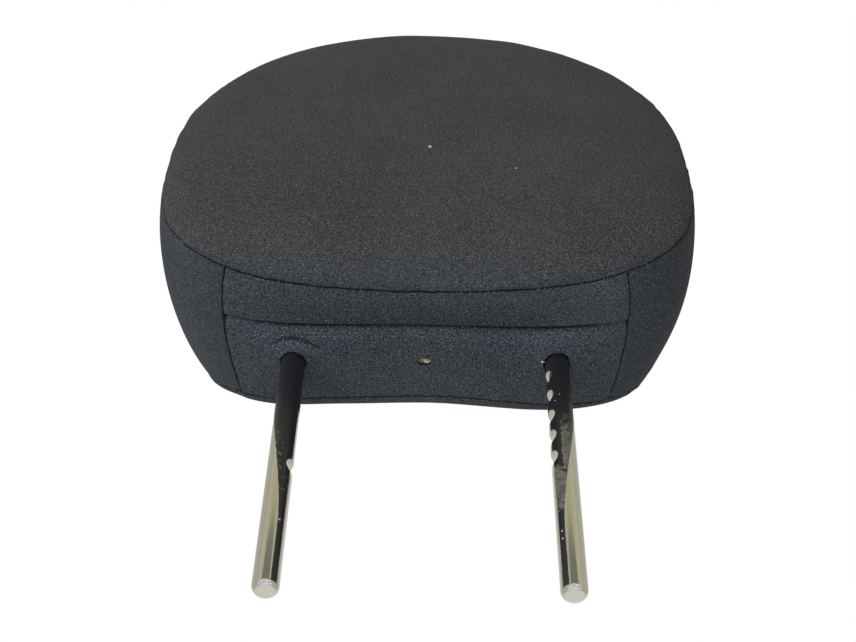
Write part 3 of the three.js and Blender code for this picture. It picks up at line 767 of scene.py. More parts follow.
# The lower piece gets painted shade for this far behind the flap's edge
FLAP_SHADE = 0.0019
SLIT_PLACE = (-0.0004, 0.002)


def boundary_loops(quads):
    """The open edges of a set of quads as ordered loops of points"""
    edges = np.concatenate([quads[:, [k, (k + 1) % 4]] for k in range(4)])
    forward = set(map(tuple, edges.tolist()))
    after = {a: b for a, b in forward if (b, a) not in forward}
    loops = []
    while after:
        start = min(after)
        loop = [start]
        step = after.pop(start)
        while step != start:
            loop.append(step)
            step = after.pop(step)
        loops.append(loop)
    return loops


def cut_piece(skin, part, keep):
    """The points of the skin that one piece uses, and its quads numbered in them"""
    quads = skin.quads[(skin.part == part) & keep]
    used, flat = np.unique(quads, return_inverse=True)
    return used, flat.reshape(-1, 4)


def panel_lead(panel, points):
    """The direction in which a panel leaves its seam"""
    x = points[:, 0] * LEAD_SHARE
    z = panel.middle + (points[:, 2] - panel.middle) * LEAD_SHARE
    return unit(dome(panel, x, z, LEAD_SHARE) - points)


def draw_near(points, loop, moves, reach):
    """Moves the cloth near an edge along with it, so that no cloth folds over at the turn"""
    edge = points[loop]
    tree = KDTree(len(loop))
    for index, place in enumerate(edge.tolist()):
        tree.insert(place, index)
    tree.balance()
    low, high = edge.min(axis=0) - reach, edge.max(axis=0) + reach
    close = np.flatnonzero(((points >= low) & (points <= high)).all(axis=1)).tolist()
    on_edge = set(loop.tolist())
    shift = np.zeros_like(points)
    for index in close:
        if index in on_edge:
            continue
        _, nearest, distance = tree.find(points[index])
        if distance < reach:
            shift[index] = moves[nearest] * (1 - distance / reach)
    return shift


def turn_in(points, quads, inward, radius, depth, tuck, overlap, panel):
    """Adds the turned-in edges. Where tuck is 1, an edge runs on under its neighbour instead"""
    own = point_normals(points, quads)
    points = points.copy()
    rings, faces = [points], [quads]
    total = len(points)
    source = [np.arange(total)]
    for loop in boundary_loops(quads):
        ids = np.array(loop)
        p = points[ids].copy()
        along = np.roll(p, -1, axis=0) - np.roll(p, 1, axis=0)
        into = panel_lead(panel, p) if panel else unit(np.cross(own[ids], unit(along)))
        down = inward[ids]
        r = radius[ids][:, None]
        under = tuck[ids][:, None]

        def rolled(t):
            sewn = into * (r * (1 - t) ** 2 + SEWN_GAP) + down * r * t * t
            return p + sewn * (1 - under) + (down * TUCK_DROP - into * overlap) * under * t

        moves = (rolled(ROLL_STEPS[0]) - p) * (1 - under)
        shift = draw_near(points, ids, moves, EDGE_REACH)
        points += shift
        points[ids] = p + moves
        last = ids
        for t in ROLL_STEPS[1:] + (2.0,):
            if t <= 1:
                ring = rolled(t)
            else:
                ring = rolled(1.0) + down * (depth[ids][:, None] - r) * (1 - under)
            new = total + np.arange(len(ids))
            faces.append(np.stack([np.roll(last, -1), last, new, np.roll(new, -1)], 1))
            rings.append(ring)
            source.append(ids)
            total += len(ids)
            last = new
    rings[0] = points
    return np.concatenate(rings), np.concatenate(faces), np.concatenate(source)


def give_weave(piece, coordinates):
    """Each point's place in its cloth, as a UV map"""
    layer = piece.data.uv_layers.new(name="weave")
    corners = np.empty(len(piece.data.loops), int)
    piece.data.loops.foreach_get("vertex_index", corners)
    layer.data.foreach_set("uv", coordinates[corners].astype(np.float32).ravel())


def give_value(piece, name, values):
    """One number for each point, as an attribute"""
    layer = piece.data.attributes.new(name=name, type="FLOAT", domain="POINT")
    layer.data.foreach_set("value", np.asarray(values, np.float32))


def apply_modifier(piece, name, kind, **settings):
    """Adds a modifier to a piece and applies it"""
    pick(piece)
    modifier = piece.modifiers.new(name, kind)
    for key, value in settings.items():
        setattr(modifier, key, value)
    bpy.ops.object.modifier_apply(modifier=modifier.name)


def hole_faces(skin, bar, making):
    """Which quads stay when the post holes and the fill slit are cut out"""
    centres = skin.points[skin.quads].mean(axis=1)
    keep = np.ones(len(centres), bool)
    for hole in holes(bar, making):
        keep &= hole_share(hole, centres) > 1
    return keep | (skin.part != LOWER)


def holes(bar, making):
    """Centre and half sizes of each opening in the underside"""
    post = bar.spacing / 2
    slit = (making.slit_width / 2, making.slit_height / 2)
    return (
        (-post, -0.0004, making.hole, making.hole),
        (post, -0.0006, making.hole, making.hole),
        (*SLIT_PLACE, *slit),
    )


def hole_share(hole, points):
    """How far out of an opening each point lies: 1 on its edge"""
    x, y, wide, high = hole
    return np.hypot((points[:, 0] - x) / wide, (points[:, 1] - y) / high)


def round_holes(points, quads, bar, making):
    """Draws the ragged edge of each opening onto its true outline"""
    for loop in boundary_loops(quads):
        ids = np.array(loop)
        for hole in holes(bar, making):
            share = hole_share(hole, points[ids])
            if share.max() < LOOP_SHARE:
                x, y = hole[0], hole[1]
                points[ids, 0] = x + (points[ids, 0] - x) / share
                points[ids, 1] = y + (points[ids, 1] - y) / share


# Each cover piece: its name, frame node, slot, flat size and flat area
PIECES = {
    FACE: ("face_panel_cover", "face_panel", "face_cloth", (0.292, 0.252), 0.0585),
    SIDE: ("side_band_cover", "side_band", "face_cloth", (0.6, 0.1), 0.052),
    BACK: ("back_panel_cover", "back_panel", "back_cloth", (0.262, 0.205), 0.0425),
    FLAP: ("closure_flap_cover", "closure_flap", "band_cloth", (0.21, 0.044), 0.0068),
    LOWER: ("post_panel_cover", "post_panel", "band_cloth", (0.21, 0.066), 0.0123),
}


def weave_plane(part, panel, points, band_run, band_down):
    """Where each point lies in its cloth, in metres"""
    if panel:
        x, z = points[:, 0], points[:, 2] - panel.middle
        share = np.minimum(outline_share(panel, x, points[:, 2]), 1)
        longer = np.interp(share, *crown_run(panel)) / np.maximum(share, 1e-9)
        return np.stack([x * longer, z * longer], 1)
    if part == SIDE:
        return np.stack([band_run, band_down], 1)
    return points[:, [0, 1]]


def painted_light_tone(part, points, gap):
    """Painted light and shade in the cloth's tone: painted shade in the middle of the flap by its edge,
    painted light towards the right of the flap and the lower piece and in a strip behind the closure, and
    painted shade on the band's right side and its top
    """
    x, z = points[:, 0], points[:, 2]
    # Painted light: the cloth is lighter towards the right
    lighter_right = np.clip((x - 0.035) / 0.04, 0, 1)
    if part == FLAP:
        return 1.02 - 0.34 * bump(gap, 0.012) * np.exp(-((x / 0.078) ** 4)) + 0.24 * lighter_right
    if part == LOWER:
        return 1 + 0.1 * bump(gap - 0.0045, 0.004) + 0.17 * lighter_right
    if part == SIDE:
        return 1 - 0.2 * np.clip(np.maximum(x - 0.09, z - 0.175) / 0.03, 0, 1)
    return np.ones(len(points))


def coarse_moves(skin, face, back, making):
    """The settling of the cover on the coarse skin"""
    near_face, near_back, _, _ = seam_distances(skin, face, back)
    near = np.minimum(near_face, near_back)
    corner = corner_distance(skin)
    closure = np.abs(closure_gap(skin))
    hold = np.maximum(near < TOUCHING, corner < TOUCHING) * 1.0
    hold = np.maximum(hold, CLOSURE_HOLD * (closure < TOUCHING))
    hold = np.maximum(hold, LOOSE_HOLD)
    gather = np.maximum(bump(near, SEAM_GATHER), 0.7 * bump(corner, CORNER_GATHER))
    return settled(skin, making, hold, gather)


def closure_gap(skin):
    """How far behind the closure each point of the underside lies: below 0 on the flap"""
    under, row = skin.underside(), FLAP_ROWS * skin.scale
    far = np.linalg.norm(skin.points[under] - skin.points[under[row]], axis=2)
    gap = np.full(len(skin.points), -FAR)
    gap[under] = np.where(np.arange(skin.rows + 1)[:, None] >= row, far, -far)
    return gap


def make_skin(sizes, making, face, back):
    """The cushion's surface, settled coarsely and then made fine"""
    skins, plans = [], None
    for fineness in (1, 2):
        band = band_grid(sizes, face, back, fineness)
        loops = [corner_loop(band[0]), corner_loop(band[-1])]
        flat = [loop[:, [0, 2]] for loop in loops]
        if plans:
            plans = [finer_plan(plan, loop) for plan, loop in zip(plans, flat)]
        else:
            plans = [plan_inside(loop) for loop in flat]
        squares = [panel_grid(*item) for item in zip((face, back), loops, plans)]
        skins.append(Skin(band, *squares))
    coarse, fine = skins
    fine.unsewn = fine.points.copy()
    fine.points += finer_steps(coarse, fine, coarse_moves(coarse, face, back, making))
    return fine


def make_cover():
    """The five cover pieces, cut from one sewn skin"""
    scene = bpy.context.scene
    sizes, making, bar = scene.headrest_cushion, scene.headrest_cover, scene.headrest_bar
    face, back = panels(sizes)
    skin = make_skin(sizes, making, face, back)
    sewn_details(skin, face, back, sizes, making, bar)
    inward = -skin.normals()

    gap = closure_gap(skin)
    closure_line = np.zeros(len(skin.points))
    closure_line[skin.underside()[FLAP_ROWS * skin.scale, 1:-1]] = 1
    run, down = np.zeros(len(skin.points)), np.zeros(len(skin.points))
    down[skin.band_ids] = skin.runs_down()
    run[skin.band_ids] = run_along(skin.points[skin.band_ids[skin.rows // 2]])
    near_face, near_back, _, _ = seam_distances(skin, face, back)
    near = np.minimum(np.minimum(near_face, near_back), corner_distance(skin))

    along = skin.points.sum(axis=1) + 1
    keep = hole_faces(skin, bar, making)
    for part, (name, node, slot, flat, area) in PIECES.items():
        used, quads = cut_piece(skin, part, keep)
        points, toward, behind = skin.points[used].copy(), inward[used], gap[used]
        radius = making.seam_roll * (1 + ROLL_CHANGE * wander(along[used], ROLL_PITCH, 71 + part))
        depth = np.full(len(used), making.seam_depth)
        tuck = np.zeros(len(used))
        # The distance that sets the painted shade down in the seams
        shade_distance = near[used]
        if part == LOWER:
            ramp = np.clip(1 - behind / making.flap_ramp, 0, 1)
            points += toward * (making.flap_edge * smooth(ramp))[:, None]
            tuck = closure_line[used]
            # Painted shade on the lower piece just behind the flap's edge
            shade_distance = np.minimum(shade_distance, np.maximum(behind - FLAP_SHADE, 0))
            round_holes(points, quads, bar, making)
            for hole in holes(bar, making):
                round_it = hole_share(hole, points) < RIM_SHARE
                radius[round_it] = min(HOLE_ROLL, hole[3] * 0.3)
                depth[round_it] = HOLE_DEPTH
        if part == FLAP:
            edge = closure_line[used] > 0
            radius[edge] = FLAP_ROLL
            depth[edge] = making.flap_edge
        panel = {FACE: face, BACK: back}.get(part)
        weave = weave_plane(part, panel, skin.unsewn[used], run[used], down[used])
        points, faces, source = turn_in(
            points, quads, toward, radius, depth, tuck, making.flap_overlap, panel
        )
        piece = mesh_object(name, points, faces)
        give_weave(piece, weave[source])
        turned = np.arange(len(source)) >= len(used)
        # The seam attribute sets the painted shade down in the seams and behind the flap's edge
        give_value(piece, "seam", np.where(turned, 0, shade_distance[source]))
        # This attribute carries the painted light and shade of the cloth's tone
        give_value(piece, "pile", painted_light_tone(part, points, behind[source]))
        apply_modifier(
            piece, "cloth", "SOLIDIFY", thickness=making.thickness, offset=-1, use_rim=True
        )
        piece.data.shade_smooth()
        piece.data.materials.append(cloth_material(slot))
        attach(piece, BODY)
        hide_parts(node)


# Node trees
def feed(node, key, value):
    """Links a socket to a node's input, or sets that input to a plain value"""
    if isinstance(value, bpy.types.NodeSocket):
        node.id_data.links.new(value, node.inputs[key])
    else:
        node.inputs[key].default_value = value


def put(tree, kind, inputs=None, **settings):
    """Adds a node, with its settings and inputs"""
    node = tree.nodes.new(kind)
    for key, value in settings.items():
        setattr(node, key, value)
    for key, value in (inputs or {}).items():
        feed(node, key, value)
    return node


def tree_of(values):
    """The node tree of the first socket among some values"""
    return next(value for value in values if isinstance(value, bpy.types.NodeSocket)).id_data


def work(operation, *values):
    """A math node's result"""
    inputs = dict(enumerate(values))
    return put(tree_of(values), "ShaderNodeMath", inputs, operation=operation).outputs[0]


times, plus, minus, over = (partial(work, kind) for kind in ("MULTIPLY", "ADD", "SUBTRACT", "DIVIDE"))
larger, absolute = partial(work, "MAXIMUM"), partial(work, "ABSOLUTE")
times_plus = partial(work, "MULTIPLY_ADD")


def vector_work(operation, inputs, result="Vector"):
    """A vector math node's result"""
    tree = tree_of(inputs.values())
    return put(tree, "ShaderNodeVectorMath", inputs, operation=operation).outputs[result]


def distance_from(place, centre):
    """How far a place is from a fixed point"""
    return vector_work("LENGTH", {0: vector_work("SUBTRACT", {0: place, 1: centre})}, "Value")


def mix_colour(factor, first, second):
    """The first colour where the factor is 0, and the second where it is 1"""
    inputs = {0: factor, 6: first, 7: second}
    return put(tree_of(inputs.values()), "ShaderNodeMix", inputs, data_type="RGBA").outputs[2]


def between(value, low, high, to_low=0.0, to_high=1.0):
    """A smooth change from to_low to to_high, while the value goes from low to high"""
    inputs = {0: value, 1: low, 2: high, 3: to_low, 4: to_high}
    return put(tree_of([value]), "ShaderNodeMapRange", inputs, interpolation_type="SMOOTHSTEP").outputs[0]


def noise(place, scale, detail, roughness=0.5, distortion=0.0, **settings):
    """A noise texture's value"""
    inputs = {"Vector": place, "Scale": scale, "Detail": detail}
    inputs.update({"Roughness": roughness, "Distortion": distortion})
    return put(place.id_data, "ShaderNodeTexNoise", inputs, **settings).outputs[0]


def stretched(place, scale):
    """A place scaled along each axis"""
    return put(place.id_data, "ShaderNodeMapping", {"Vector": place, "Scale": scale}).outputs[0]


def parts_of(vector):
    """A vector's x, y and z"""
    return put(vector.id_data, "ShaderNodeSeparateXYZ", {0: vector}).outputs


def point_value(tree, name):
    """A piece's own attribute"""
    return put(tree, "ShaderNodeAttribute", attribute_name=name).outputs["Fac"]


def group_tree(name, inputs, outputs):
    """A new node group with its input sockets, and the node that takes its results"""
    tree = bpy.data.node_groups.new(name, "ShaderNodeTree")
    for socket, kind in inputs.items():
        tree.interface.new_socket(socket, in_out="INPUT", socket_type="NodeSocket" + kind)
    for socket in outputs:
        tree.interface.new_socket(socket, in_out="OUTPUT", socket_type="NodeSocketFloat")
    return tree, tree.nodes.new("NodeGroupInput").outputs, tree.nodes.new("NodeGroupOutput")


def use_group(tree, name, builder, inputs):
    """Places a node group, which is built when it is first used"""
    group = bpy.data.node_groups.get(name) or builder(name)
    return put(tree, "ShaderNodeGroup", inputs, node_tree=group).outputs


def twill_group(name):
    """Two-and-two twill: the ribs' height, and 1 where the warp lies on top"""
    tree, given, result = group_tree(name, {"Place": "Vector", "Thread": "Float"}, ("Height", "Warp"))
    split = parts_of(given["Place"])
    across = over(split[0], given["Thread"])
    along = over(split[1], given["Thread"])
    cells = plus(work("FLOOR", across), work("FLOOR", along))
    warp = work("LESS_THAN", work("FLOORED_MODULO", cells, 4.0), 1.5)
    humps = []
    for value in (across, along):
        side = times_plus(work("FRACT", value), 2.0, -1.0)
        humps.append(minus(1.0, times(side, side)))
    weft = times(minus(1.0, warp), humps[1])
    feed(result, "Height", plus(times(warp, humps[0]), times(weft, 0.7)))
    feed(result, "Warp", warp)
    return tree


def fleck_group(name):
    """Salt-and-pepper unevenness of the yarn: a grain value, and sparse shining fibres"""
    tree, given, result = group_tree(name, {"Place": "Vector", "Size": "Float"}, ("Grain", "Spark"))
    scale = over(1.0, given["Size"])

    def cells(fineness):
        inputs = {"Vector": given["Place"], "Scale": times(scale, fineness)}
        found = put(tree, "ShaderNodeTexVoronoi", inputs, voronoi_dimensions="2D").outputs
        return found["Distance"], put(tree, "ShaderNodeSeparateColor", {0: found["Color"]}).outputs

    soft = noise(given["Place"], scale, 1.5, 0.6, noise_dimensions="2D")
    _, chance = cells(1.5)
    feed(result, "Grain", times(plus(between(soft, 0.3, 0.7), chance[0]), 0.5))
    far, chance = cells(0.55)
    inside = between(far, 0.1, 0.24, 1.0, 0.0)
    feed(result, "Spark", times(inside, between(chance[1], 0.45, 1.0)))
    return tree


def dust_group(name):
    """Blotches of dust: none where the amount is 0, and all over where it is 1"""
    tree, given, result = group_tree(name, {"Place": "Vector", "Amount": "Float"}, ("Mask", "Grain"))
    blotch = noise(given["Place"], 380.0, 5.0, 0.7)
    fine = noise(given["Place"], 1400.0, 3.0)
    mask = between(plus(blotch, times_plus(given["Amount"], 0.6, -0.6)), 0.4, 0.6)
    feed(result, "Mask", times(mask, between(fine, 0.35, 0.7, 0.55, 1.0)))
    feed(result, "Grain", fine)
    return tree


# Materials
def new_material(name):
    """A new material, its tree and shader, and the place on the piece"""
    material = bpy.data.materials.new(name)
    material.use_nodes = True
    tree = material.node_tree
    solid = put(tree, "ShaderNodeTexCoord").outputs["Object"]
    return material, tree, tree.nodes["Principled BSDF"], solid


def relief(shader, height, strength, distance):
    """Feeds a height to a shader's normal, through a bump"""
    inputs = {"Strength": strength, "Distance": distance, "Height": height}
    feed(shader, "Normal", put(shader.id_data, "ShaderNodeBump", inputs).outputs[0])


def shade(value, factor):
    """A colour made darker"""
    return (*(channel * factor for channel in value), 1.0)


def specks(solid, places):
    """Small round spots at the places given"""
    return reduce(larger, [work("LESS_THAN", distance_from(solid, place), size) for place, size in places])


def fold_light_and_shade(solid):
    """The fold beside the left post: painted shade along its crease, and painted light on the cloth
    between it and the hole
    """
    cx, cy, radius = arc_through(LEFT_FOLD)
    flat = vector_work("MULTIPLY", {0: solid, 1: (1, 1, 0)})
    arc = minus(distance_from(flat, (cx, cy, 0)), radius)
    window = between(distance_from(flat, (*LEFT_FOLD[1], 0)), 0.009, 0.014, 1.0, 0.0)
    line = between(absolute(arc), 0.0002, 0.0009, 1.0, 0.0)
    light = times(between(arc, -0.0075, -0.003), between(arc, -0.001, 0.0, 1.0, 0.0))
    return times_plus(minus(times(light, 0.22), times(line, 0.6)), window, 1.0)


def cloth_material(slot):
    """Charcoal twill with a grainy fleck and pale specks, with painted shade down in the seams, and
    painted light, painted shade and a painted light tint over the cloth
    """
    name = "woven_" + slot
    made = bpy.data.materials.get(name)
    if made:
        return made
    looks = bpy.context.scene.headrest_looks
    under = slot == "band_cloth"
    material, tree, shader, solid = new_material(name)
    place = put(tree, "ShaderNodeUVMap", uv_map="weave").outputs[0]
    twill = use_group(tree, "Twill weave", twill_group, {"Place": place, "Thread": looks.thread})
    grain = use_group(tree, "Fleck", fleck_group, {"Place": place, "Size": looks.grain})
    seam, pile = (point_value(tree, name) for name in ("seam", "pile"))
    across, behind, level = parts_of(solid)
    base, fleck = looks.band_cloth, looks.lower_fleck
    if not under:
        fleck = between(level, 0.16, 0.3, looks.face_fleck * 1.95, looks.face_fleck * 1.2)
        # Painted light tint: the warmer face colour high up and in front, the bluer lower colour further
        # down
        warm_light_share = larger(between(level, 0.17, 0.27), between(behind, -0.054, -0.046, 0.6, 0.0))
        base = mix_colour(warm_light_share, (*looks.band_cloth, 1), (*looks.face_cloth, 1))
    # Painted shade in the seams: deepest across the middle, paler towards the sides
    paler_seam_shade = plus(between(across, -0.115, -0.1, 0.3, 0.0), between(across, 0.075, 0.1, 0.0, 0.3))
    tones = [
        times_plus(minus(grain["Grain"], 0.5), fleck, 1.0),
        times_plus(twill["Warp"], looks.rib, 1.0 - looks.rib / 2),
        times_plus(twill["Height"], 0.3, 0.82),
        between(noise(solid, 22.0, 3.0), 0.3, 0.7, 0.94, 1.06),
        # Painted shade near the seams
        between(seam, 0.0, 0.0005, plus(paler_seam_shade, 0.25), 1.0),
        # Painted light and shade, from the piece's attribute
        pile,
    ]
    if under:
        tones.append(fold_light_and_shade(solid))
    cloth = vector_work("SCALE", {0: base, 3: reduce(times, tones)})
    shine = times(times(grain["Spark"], fleck), 0.5)
    cloth = mix_colour(shine, cloth, (*looks.spark, 1))
    cloth = mix_colour(specks(solid, LINT), cloth, LINT_COLOUR)
    feed(shader, "Base Color", cloth)
    feed(shader, "Roughness", 0.95)
    feed(shader, "Specular IOR Level", 0.2)
    feed(shader, "Sheen Weight", 0.03)
    feed(shader, "Sheen Roughness", 0.5)
    relief(shader, times_plus(grain["Grain"], 0.8, twill["Height"]), 0.5, 0.00012)
    return material


def dark_reflection_mask(split, turned, radial):
    """Where the posts' painted dark reflection of the shaded cushion is: all round the upper part, and
    tapering down the inner side
    """
    tree = turned.id_data
    place = put(tree, "ShaderNodeCombineXYZ", dict(enumerate(split))).outputs[0]
    ragged = minus(noise(place, 420.0, 4.0), 0.5)
    upper = between(times_plus(ragged, 0.005, minus(split[2], DARK_REFLECTION_HEIGHT)), -0.0009, 0.0009)
    frayed = times_plus(ragged, 0.1, turned)
    outer = between(split[2], 0.034, 0.118, -0.3, 1.05)
    inner = between(split[2], 0.07, 0.082, -0.77, -0.88)
    # A band of painted dark reflection down each post, placed across the post as the camera sees it
    strip = between(minus(frayed, outer), -0.03, 0.03, 1.0, 0.0)
    strip = times(strip, between(minus(frayed, inner), -0.03, 0.03))
    strip = times(strip, between(split[1], 0.0, 0.003, 1.0, 0.0))
    uncut = between(radial, *UNCUT)
    return times(larger(upper, strip), uncut), strip


def chrome_material():
    """Bright plating under a painted dark reflection of the shaded cushion, with dust and a few dried
    drops on it
    """
    scene = bpy.context.scene
    looks, bar = scene.headrest_looks, scene.headrest_bar
    material, tree, shader, solid = new_material("dusty_plating")
    split = parts_of(solid)
    outward = minus(absolute(split[0]), bar.spacing / 2)
    seen_across = times_plus(split[1], ACROSS_VIEW[1], times(outward, ACROSS_VIEW[0]))
    turned = over(seen_across, bar.diameter / 2)
    radial = work("SQRT", times_plus(outward, outward, times(split[1], split[1])))
    dark_reflection, strip = dark_reflection_mask(split, turned, radial)

    right = between(split[0], -0.02, 0.02, 0.72, 1.0)
    middle = times(between(split[2], 0.06, 0.074), between(split[2], 0.09, 0.136, 1.0, 0.0))
    middle = times(middle, between(turned, -0.4, 0.0, 0.0, 1.12))
    low = times(between(split[2], 0.036, 0.05), between(split[2], 0.07, 0.08, 1.0, 0.0))
    low = times(times(low, strip), 1.1)
    amount = times(larger(middle, low), right)
    dust = use_group(tree, "Dust", dust_group, {"Place": solid, "Amount": amount})
    dusty = times(dust["Mask"], dark_reflection)
    spots = specks(solid, DROPS)

    # Painted dark reflection over the plating, with dust on it
    finish = mix_colour(dark_reflection, (*looks.plating, 1), (*looks.dark_reflection, 1))
    finish = mix_colour(dusty, finish, (*looks.dust, 1))
    feed(shader, "Base Color", mix_colour(spots, finish, DROP_COLOUR))
    covered = larger(dark_reflection, spots)
    feed(shader, "Metallic", minus(1.0, covered))
    scratch = noise(stretched(solid, (1, 1, 0.06)), 2600.0, 2.0)
    rough = times_plus(covered, 0.22, between(scratch, 0.45, 0.75, 0.05, 0.13))
    feed(shader, "Roughness", times_plus(dusty, 0.5, rough))
    relief(shader, times(dusty, dust["Grain"]), 0.25, 0.00006)
    return material


def foam_material():
    """Cream moulded foam with open cells, paler in patches"""
    looks = bpy.context.scene.headrest_looks
    material, tree, shader, solid = new_material("open_cell_foam")
    cells = put(tree, "ShaderNodeTexVoronoi", {"Vector": solid, "Scale": 1500.0}).outputs["Distance"]
    cell = between(cells, 0.1, 0.6)
    light = mix_colour(noise(solid, 60.0, 4.0), shade(looks.foam, 0.85), (0.72, 0.7, 0.58, 1))
    feed(shader, "Base Color", mix_colour(cell, shade(looks.foam, 0.4), light))
    feed(shader, "Roughness", 0.97)
    relief(shader, cell, 0.8, 0.0004)
    return material


def strip_material():
    """Extruded black plastic with faint drawing lines"""
    material, _, shader, solid = new_material("drawn_plastic")
    lines = noise(stretched(solid, (0.05, 1, 1)), 2400.0, 2.0)
    feed(shader, "Base Color", mix_colour(lines, (0.008, 0.008, 0.009, 1), (0.02, 0.02, 0.021, 1)))
    feed(shader, "Roughness", between(lines, 0.3, 0.7, 0.38, 0.6))
    relief(shader, lines, 0.3, 0.0001)
    return material


def felt_material():
    """Pressed grey felt, dark with dust"""
    material, _, shader, solid = new_material("pressed_felt")
    fibre = noise(solid, 1800.0, 5.0, distortion=1.5)
    tone = between(plus(fibre, times(noise(solid, 220.0, 2.0), 0.4)), 0.45, 0.95)
    feed(shader, "Base Color", mix_colour(tone, (0.012, 0.012, 0.012, 1), (0.05, 0.05, 0.046, 1)))
    feed(shader, "Roughness", 0.98)
    relief(shader, fibre, 0.7, 0.0003)
    return material


# Foam: torn bits at the openings, each with its place and size
CRUMBS = (
    (0.0577, -0.0022, 0.1492, 0.0011),
    (0.0566, -0.0012, 0.1494, 0.0007),
    (0.0011, 0.002, 0.1534, 0.0013),
    (0.0001, 0.0024, 0.154, 0.0007),
)


def make_foam():
    """The moulded core: its frame solid taken over, softened and given open cells"""
    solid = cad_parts["foam_core"]
    foam = bpy.data.objects.new("foam_core_moulded", solid.data.copy())
    bpy.context.scene.collection.objects.link(foam)
    pick(foam)
    bpy.ops.object.mode_set(mode="EDIT")
    bpy.ops.mesh.select_all(action="SELECT")
    bpy.ops.mesh.remove_doubles(threshold=1e-5)
    bpy.ops.object.mode_set(mode="OBJECT")
    foam.data.materials.clear()
    apply_modifier(foam, "cells", "REMESH", mode="VOXEL", voxel_size=0.0026)
    apply_modifier(foam, "soft", "SMOOTH", factor=0.5, iterations=2)
    grain = bpy.data.textures.new("foam_cells", "CLOUDS")
    grain.noise_scale = 0.004
    apply_modifier(foam, "shrunk", "DISPLACE", strength=-0.0008, mid_level=0.0)
    apply_modifier(foam, "uneven", "DISPLACE", strength=0.0006, texture=grain, texture_coords="LOCAL")
    join_into(foam, [crumb(place, size) for *place, size in CRUMBS])
    foam.data.materials.clear()
    foam.data.materials.append(foam_material())
    foam.data.shade_smooth()
    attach(foam, BODY)
    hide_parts("foam_core")


def join_into(piece, others):
    """Joins other objects' meshes into one piece"""
    pick(piece)
    for other in others:
        other.select_set(True)
    bpy.ops.object.join()


def crumb(place, size):
    """A torn bit of foam at an opening of the cover"""
    bpy.ops.object.select_all(action="DESELECT")
    bpy.ops.mesh.primitive_ico_sphere_add(subdivisions=4, radius=size, location=(0, 0, 0))
    bit = bpy.context.active_object
    bpy.ops.object.mode_set(mode="EDIT")
    bpy.ops.mesh.select_all(action="SELECT")
    bpy.ops.transform.resize(value=(1.25, 0.8, 0.75))
    bpy.ops.transform.translate(value=place)
    bpy.ops.object.mode_set(mode="OBJECT")
    torn = bpy.data.textures.new("torn", "CLOUDS")
    torn.noise_scale = size * 0.9
    apply_modifier(bit, "torn", "DISPLACE", strength=size * 0.9, texture=torn, texture_coords="LOCAL")
    return bit


# Bar
BAR_SIDES = 64
TIP_STEPS = 7
LEG_ROWS = 40
BEND_STEPS = 24


def make_bar():
    """One leg drawn up from its tip, bent and mirrored, then notched"""
    scene = bpy.context.scene
    bar = scene.headrest_bar
    radius, post = bar.diameter / 2, bar.spacing / 2
    top = scene.headrest_cushion.post_exposed + bar.inside
    bend_z, bend_x = top - bar.bend, post - bar.bend
    bpy.ops.object.select_all(action="DESELECT")
    bpy.ops.mesh.primitive_circle_add(
        vertices=BAR_SIDES, radius=bar.tip_face / 2, fill_type="NGON", location=(-post, 0, 0)
    )
    piece = bpy.context.active_object
    piece.name = piece.data.name = "plated_bar"
    bpy.ops.object.transform_apply(location=True, rotation=False, scale=False)
    bpy.ops.object.mode_set(mode="EDIT")
    bpy.ops.mesh.select_mode(type="EDGE")
    bpy.ops.mesh.select_all(action="SELECT")
    bpy.ops.mesh.inset(thickness=0.0004)
    select_rim(piece)
    old, low = bar.tip_face / 2, 0.0
    for k in range(1, TIP_STEPS + 1):
        turn = k / TIP_STEPS * math.pi / 2
        wide = bar.tip_face / 2 + (radius - bar.tip_face / 2) * math.sin(turn) ** 0.9
        height = bar.tip * (1 - math.cos(turn))
        extrude_up(height - low)
        bpy.ops.transform.resize(
            value=(wide / old, wide / old, 1), center_override=(-post, 0, height)
        )
        old, low = wide, height
    for _ in range(LEG_ROWS):
        extrude_up((bend_z - bar.tip) / LEG_ROWS)
    bpy.ops.mesh.spin(
        steps=BEND_STEPS, angle=math.pi / 2, center=(-bend_x, 0, bend_z), axis=(0, 1, 0), dupli=False
    )
    bpy.ops.mesh.extrude_edges_move(TRANSFORM_OT_translate={"value": (bend_x, 0, 0)})
    bpy.ops.object.mode_set(mode="OBJECT")
    apply_modifier(piece, "other_leg", "MIRROR", use_clip=True, merge_threshold=1e-5)
    cutter = notch_cutter(bar, radius, post)
    apply_modifier(piece, "notches", "BOOLEAN", operation="DIFFERENCE", object=cutter, solver="EXACT")
    bpy.data.objects.remove(cutter)
    pick(piece)
    bpy.ops.object.mode_set(mode="EDIT")
    bpy.ops.mesh.select_all(action="SELECT")
    bpy.ops.mesh.remove_doubles(threshold=1e-6)
    bpy.ops.mesh.normals_make_consistent(inside=False)
    bpy.ops.object.mode_set(mode="OBJECT")
    ease = {"width": 0.00022, "segments": 2, "limit_method": "ANGLE", "angle_limit": math.radians(28)}
    apply_modifier(piece, "eased", "BEVEL", **ease)
    pick(piece)
    bpy.ops.object.shade_smooth_by_angle(angle=math.radians(32))
    piece.data.materials.clear()
    piece.data.materials.append(chrome_material())
    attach(piece, BODY)
    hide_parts("post_frame")


def select_rim(piece):
    """Selects the open edges, and nothing else"""
    bpy.ops.mesh.select_all(action="DESELECT")
    mesh = bmesh.from_edit_mesh(piece.data)
    for edge in mesh.edges:
        edge.select = edge.is_boundary
    mesh.select_flush_mode()
    bmesh.update_edit_mesh(piece.data)


def extrude_up(height):
    """Extrudes the selected edges straight up"""
    bpy.ops.mesh.extrude_edges_move(TRANSFORM_OT_translate={"value": (0, 0, height)})


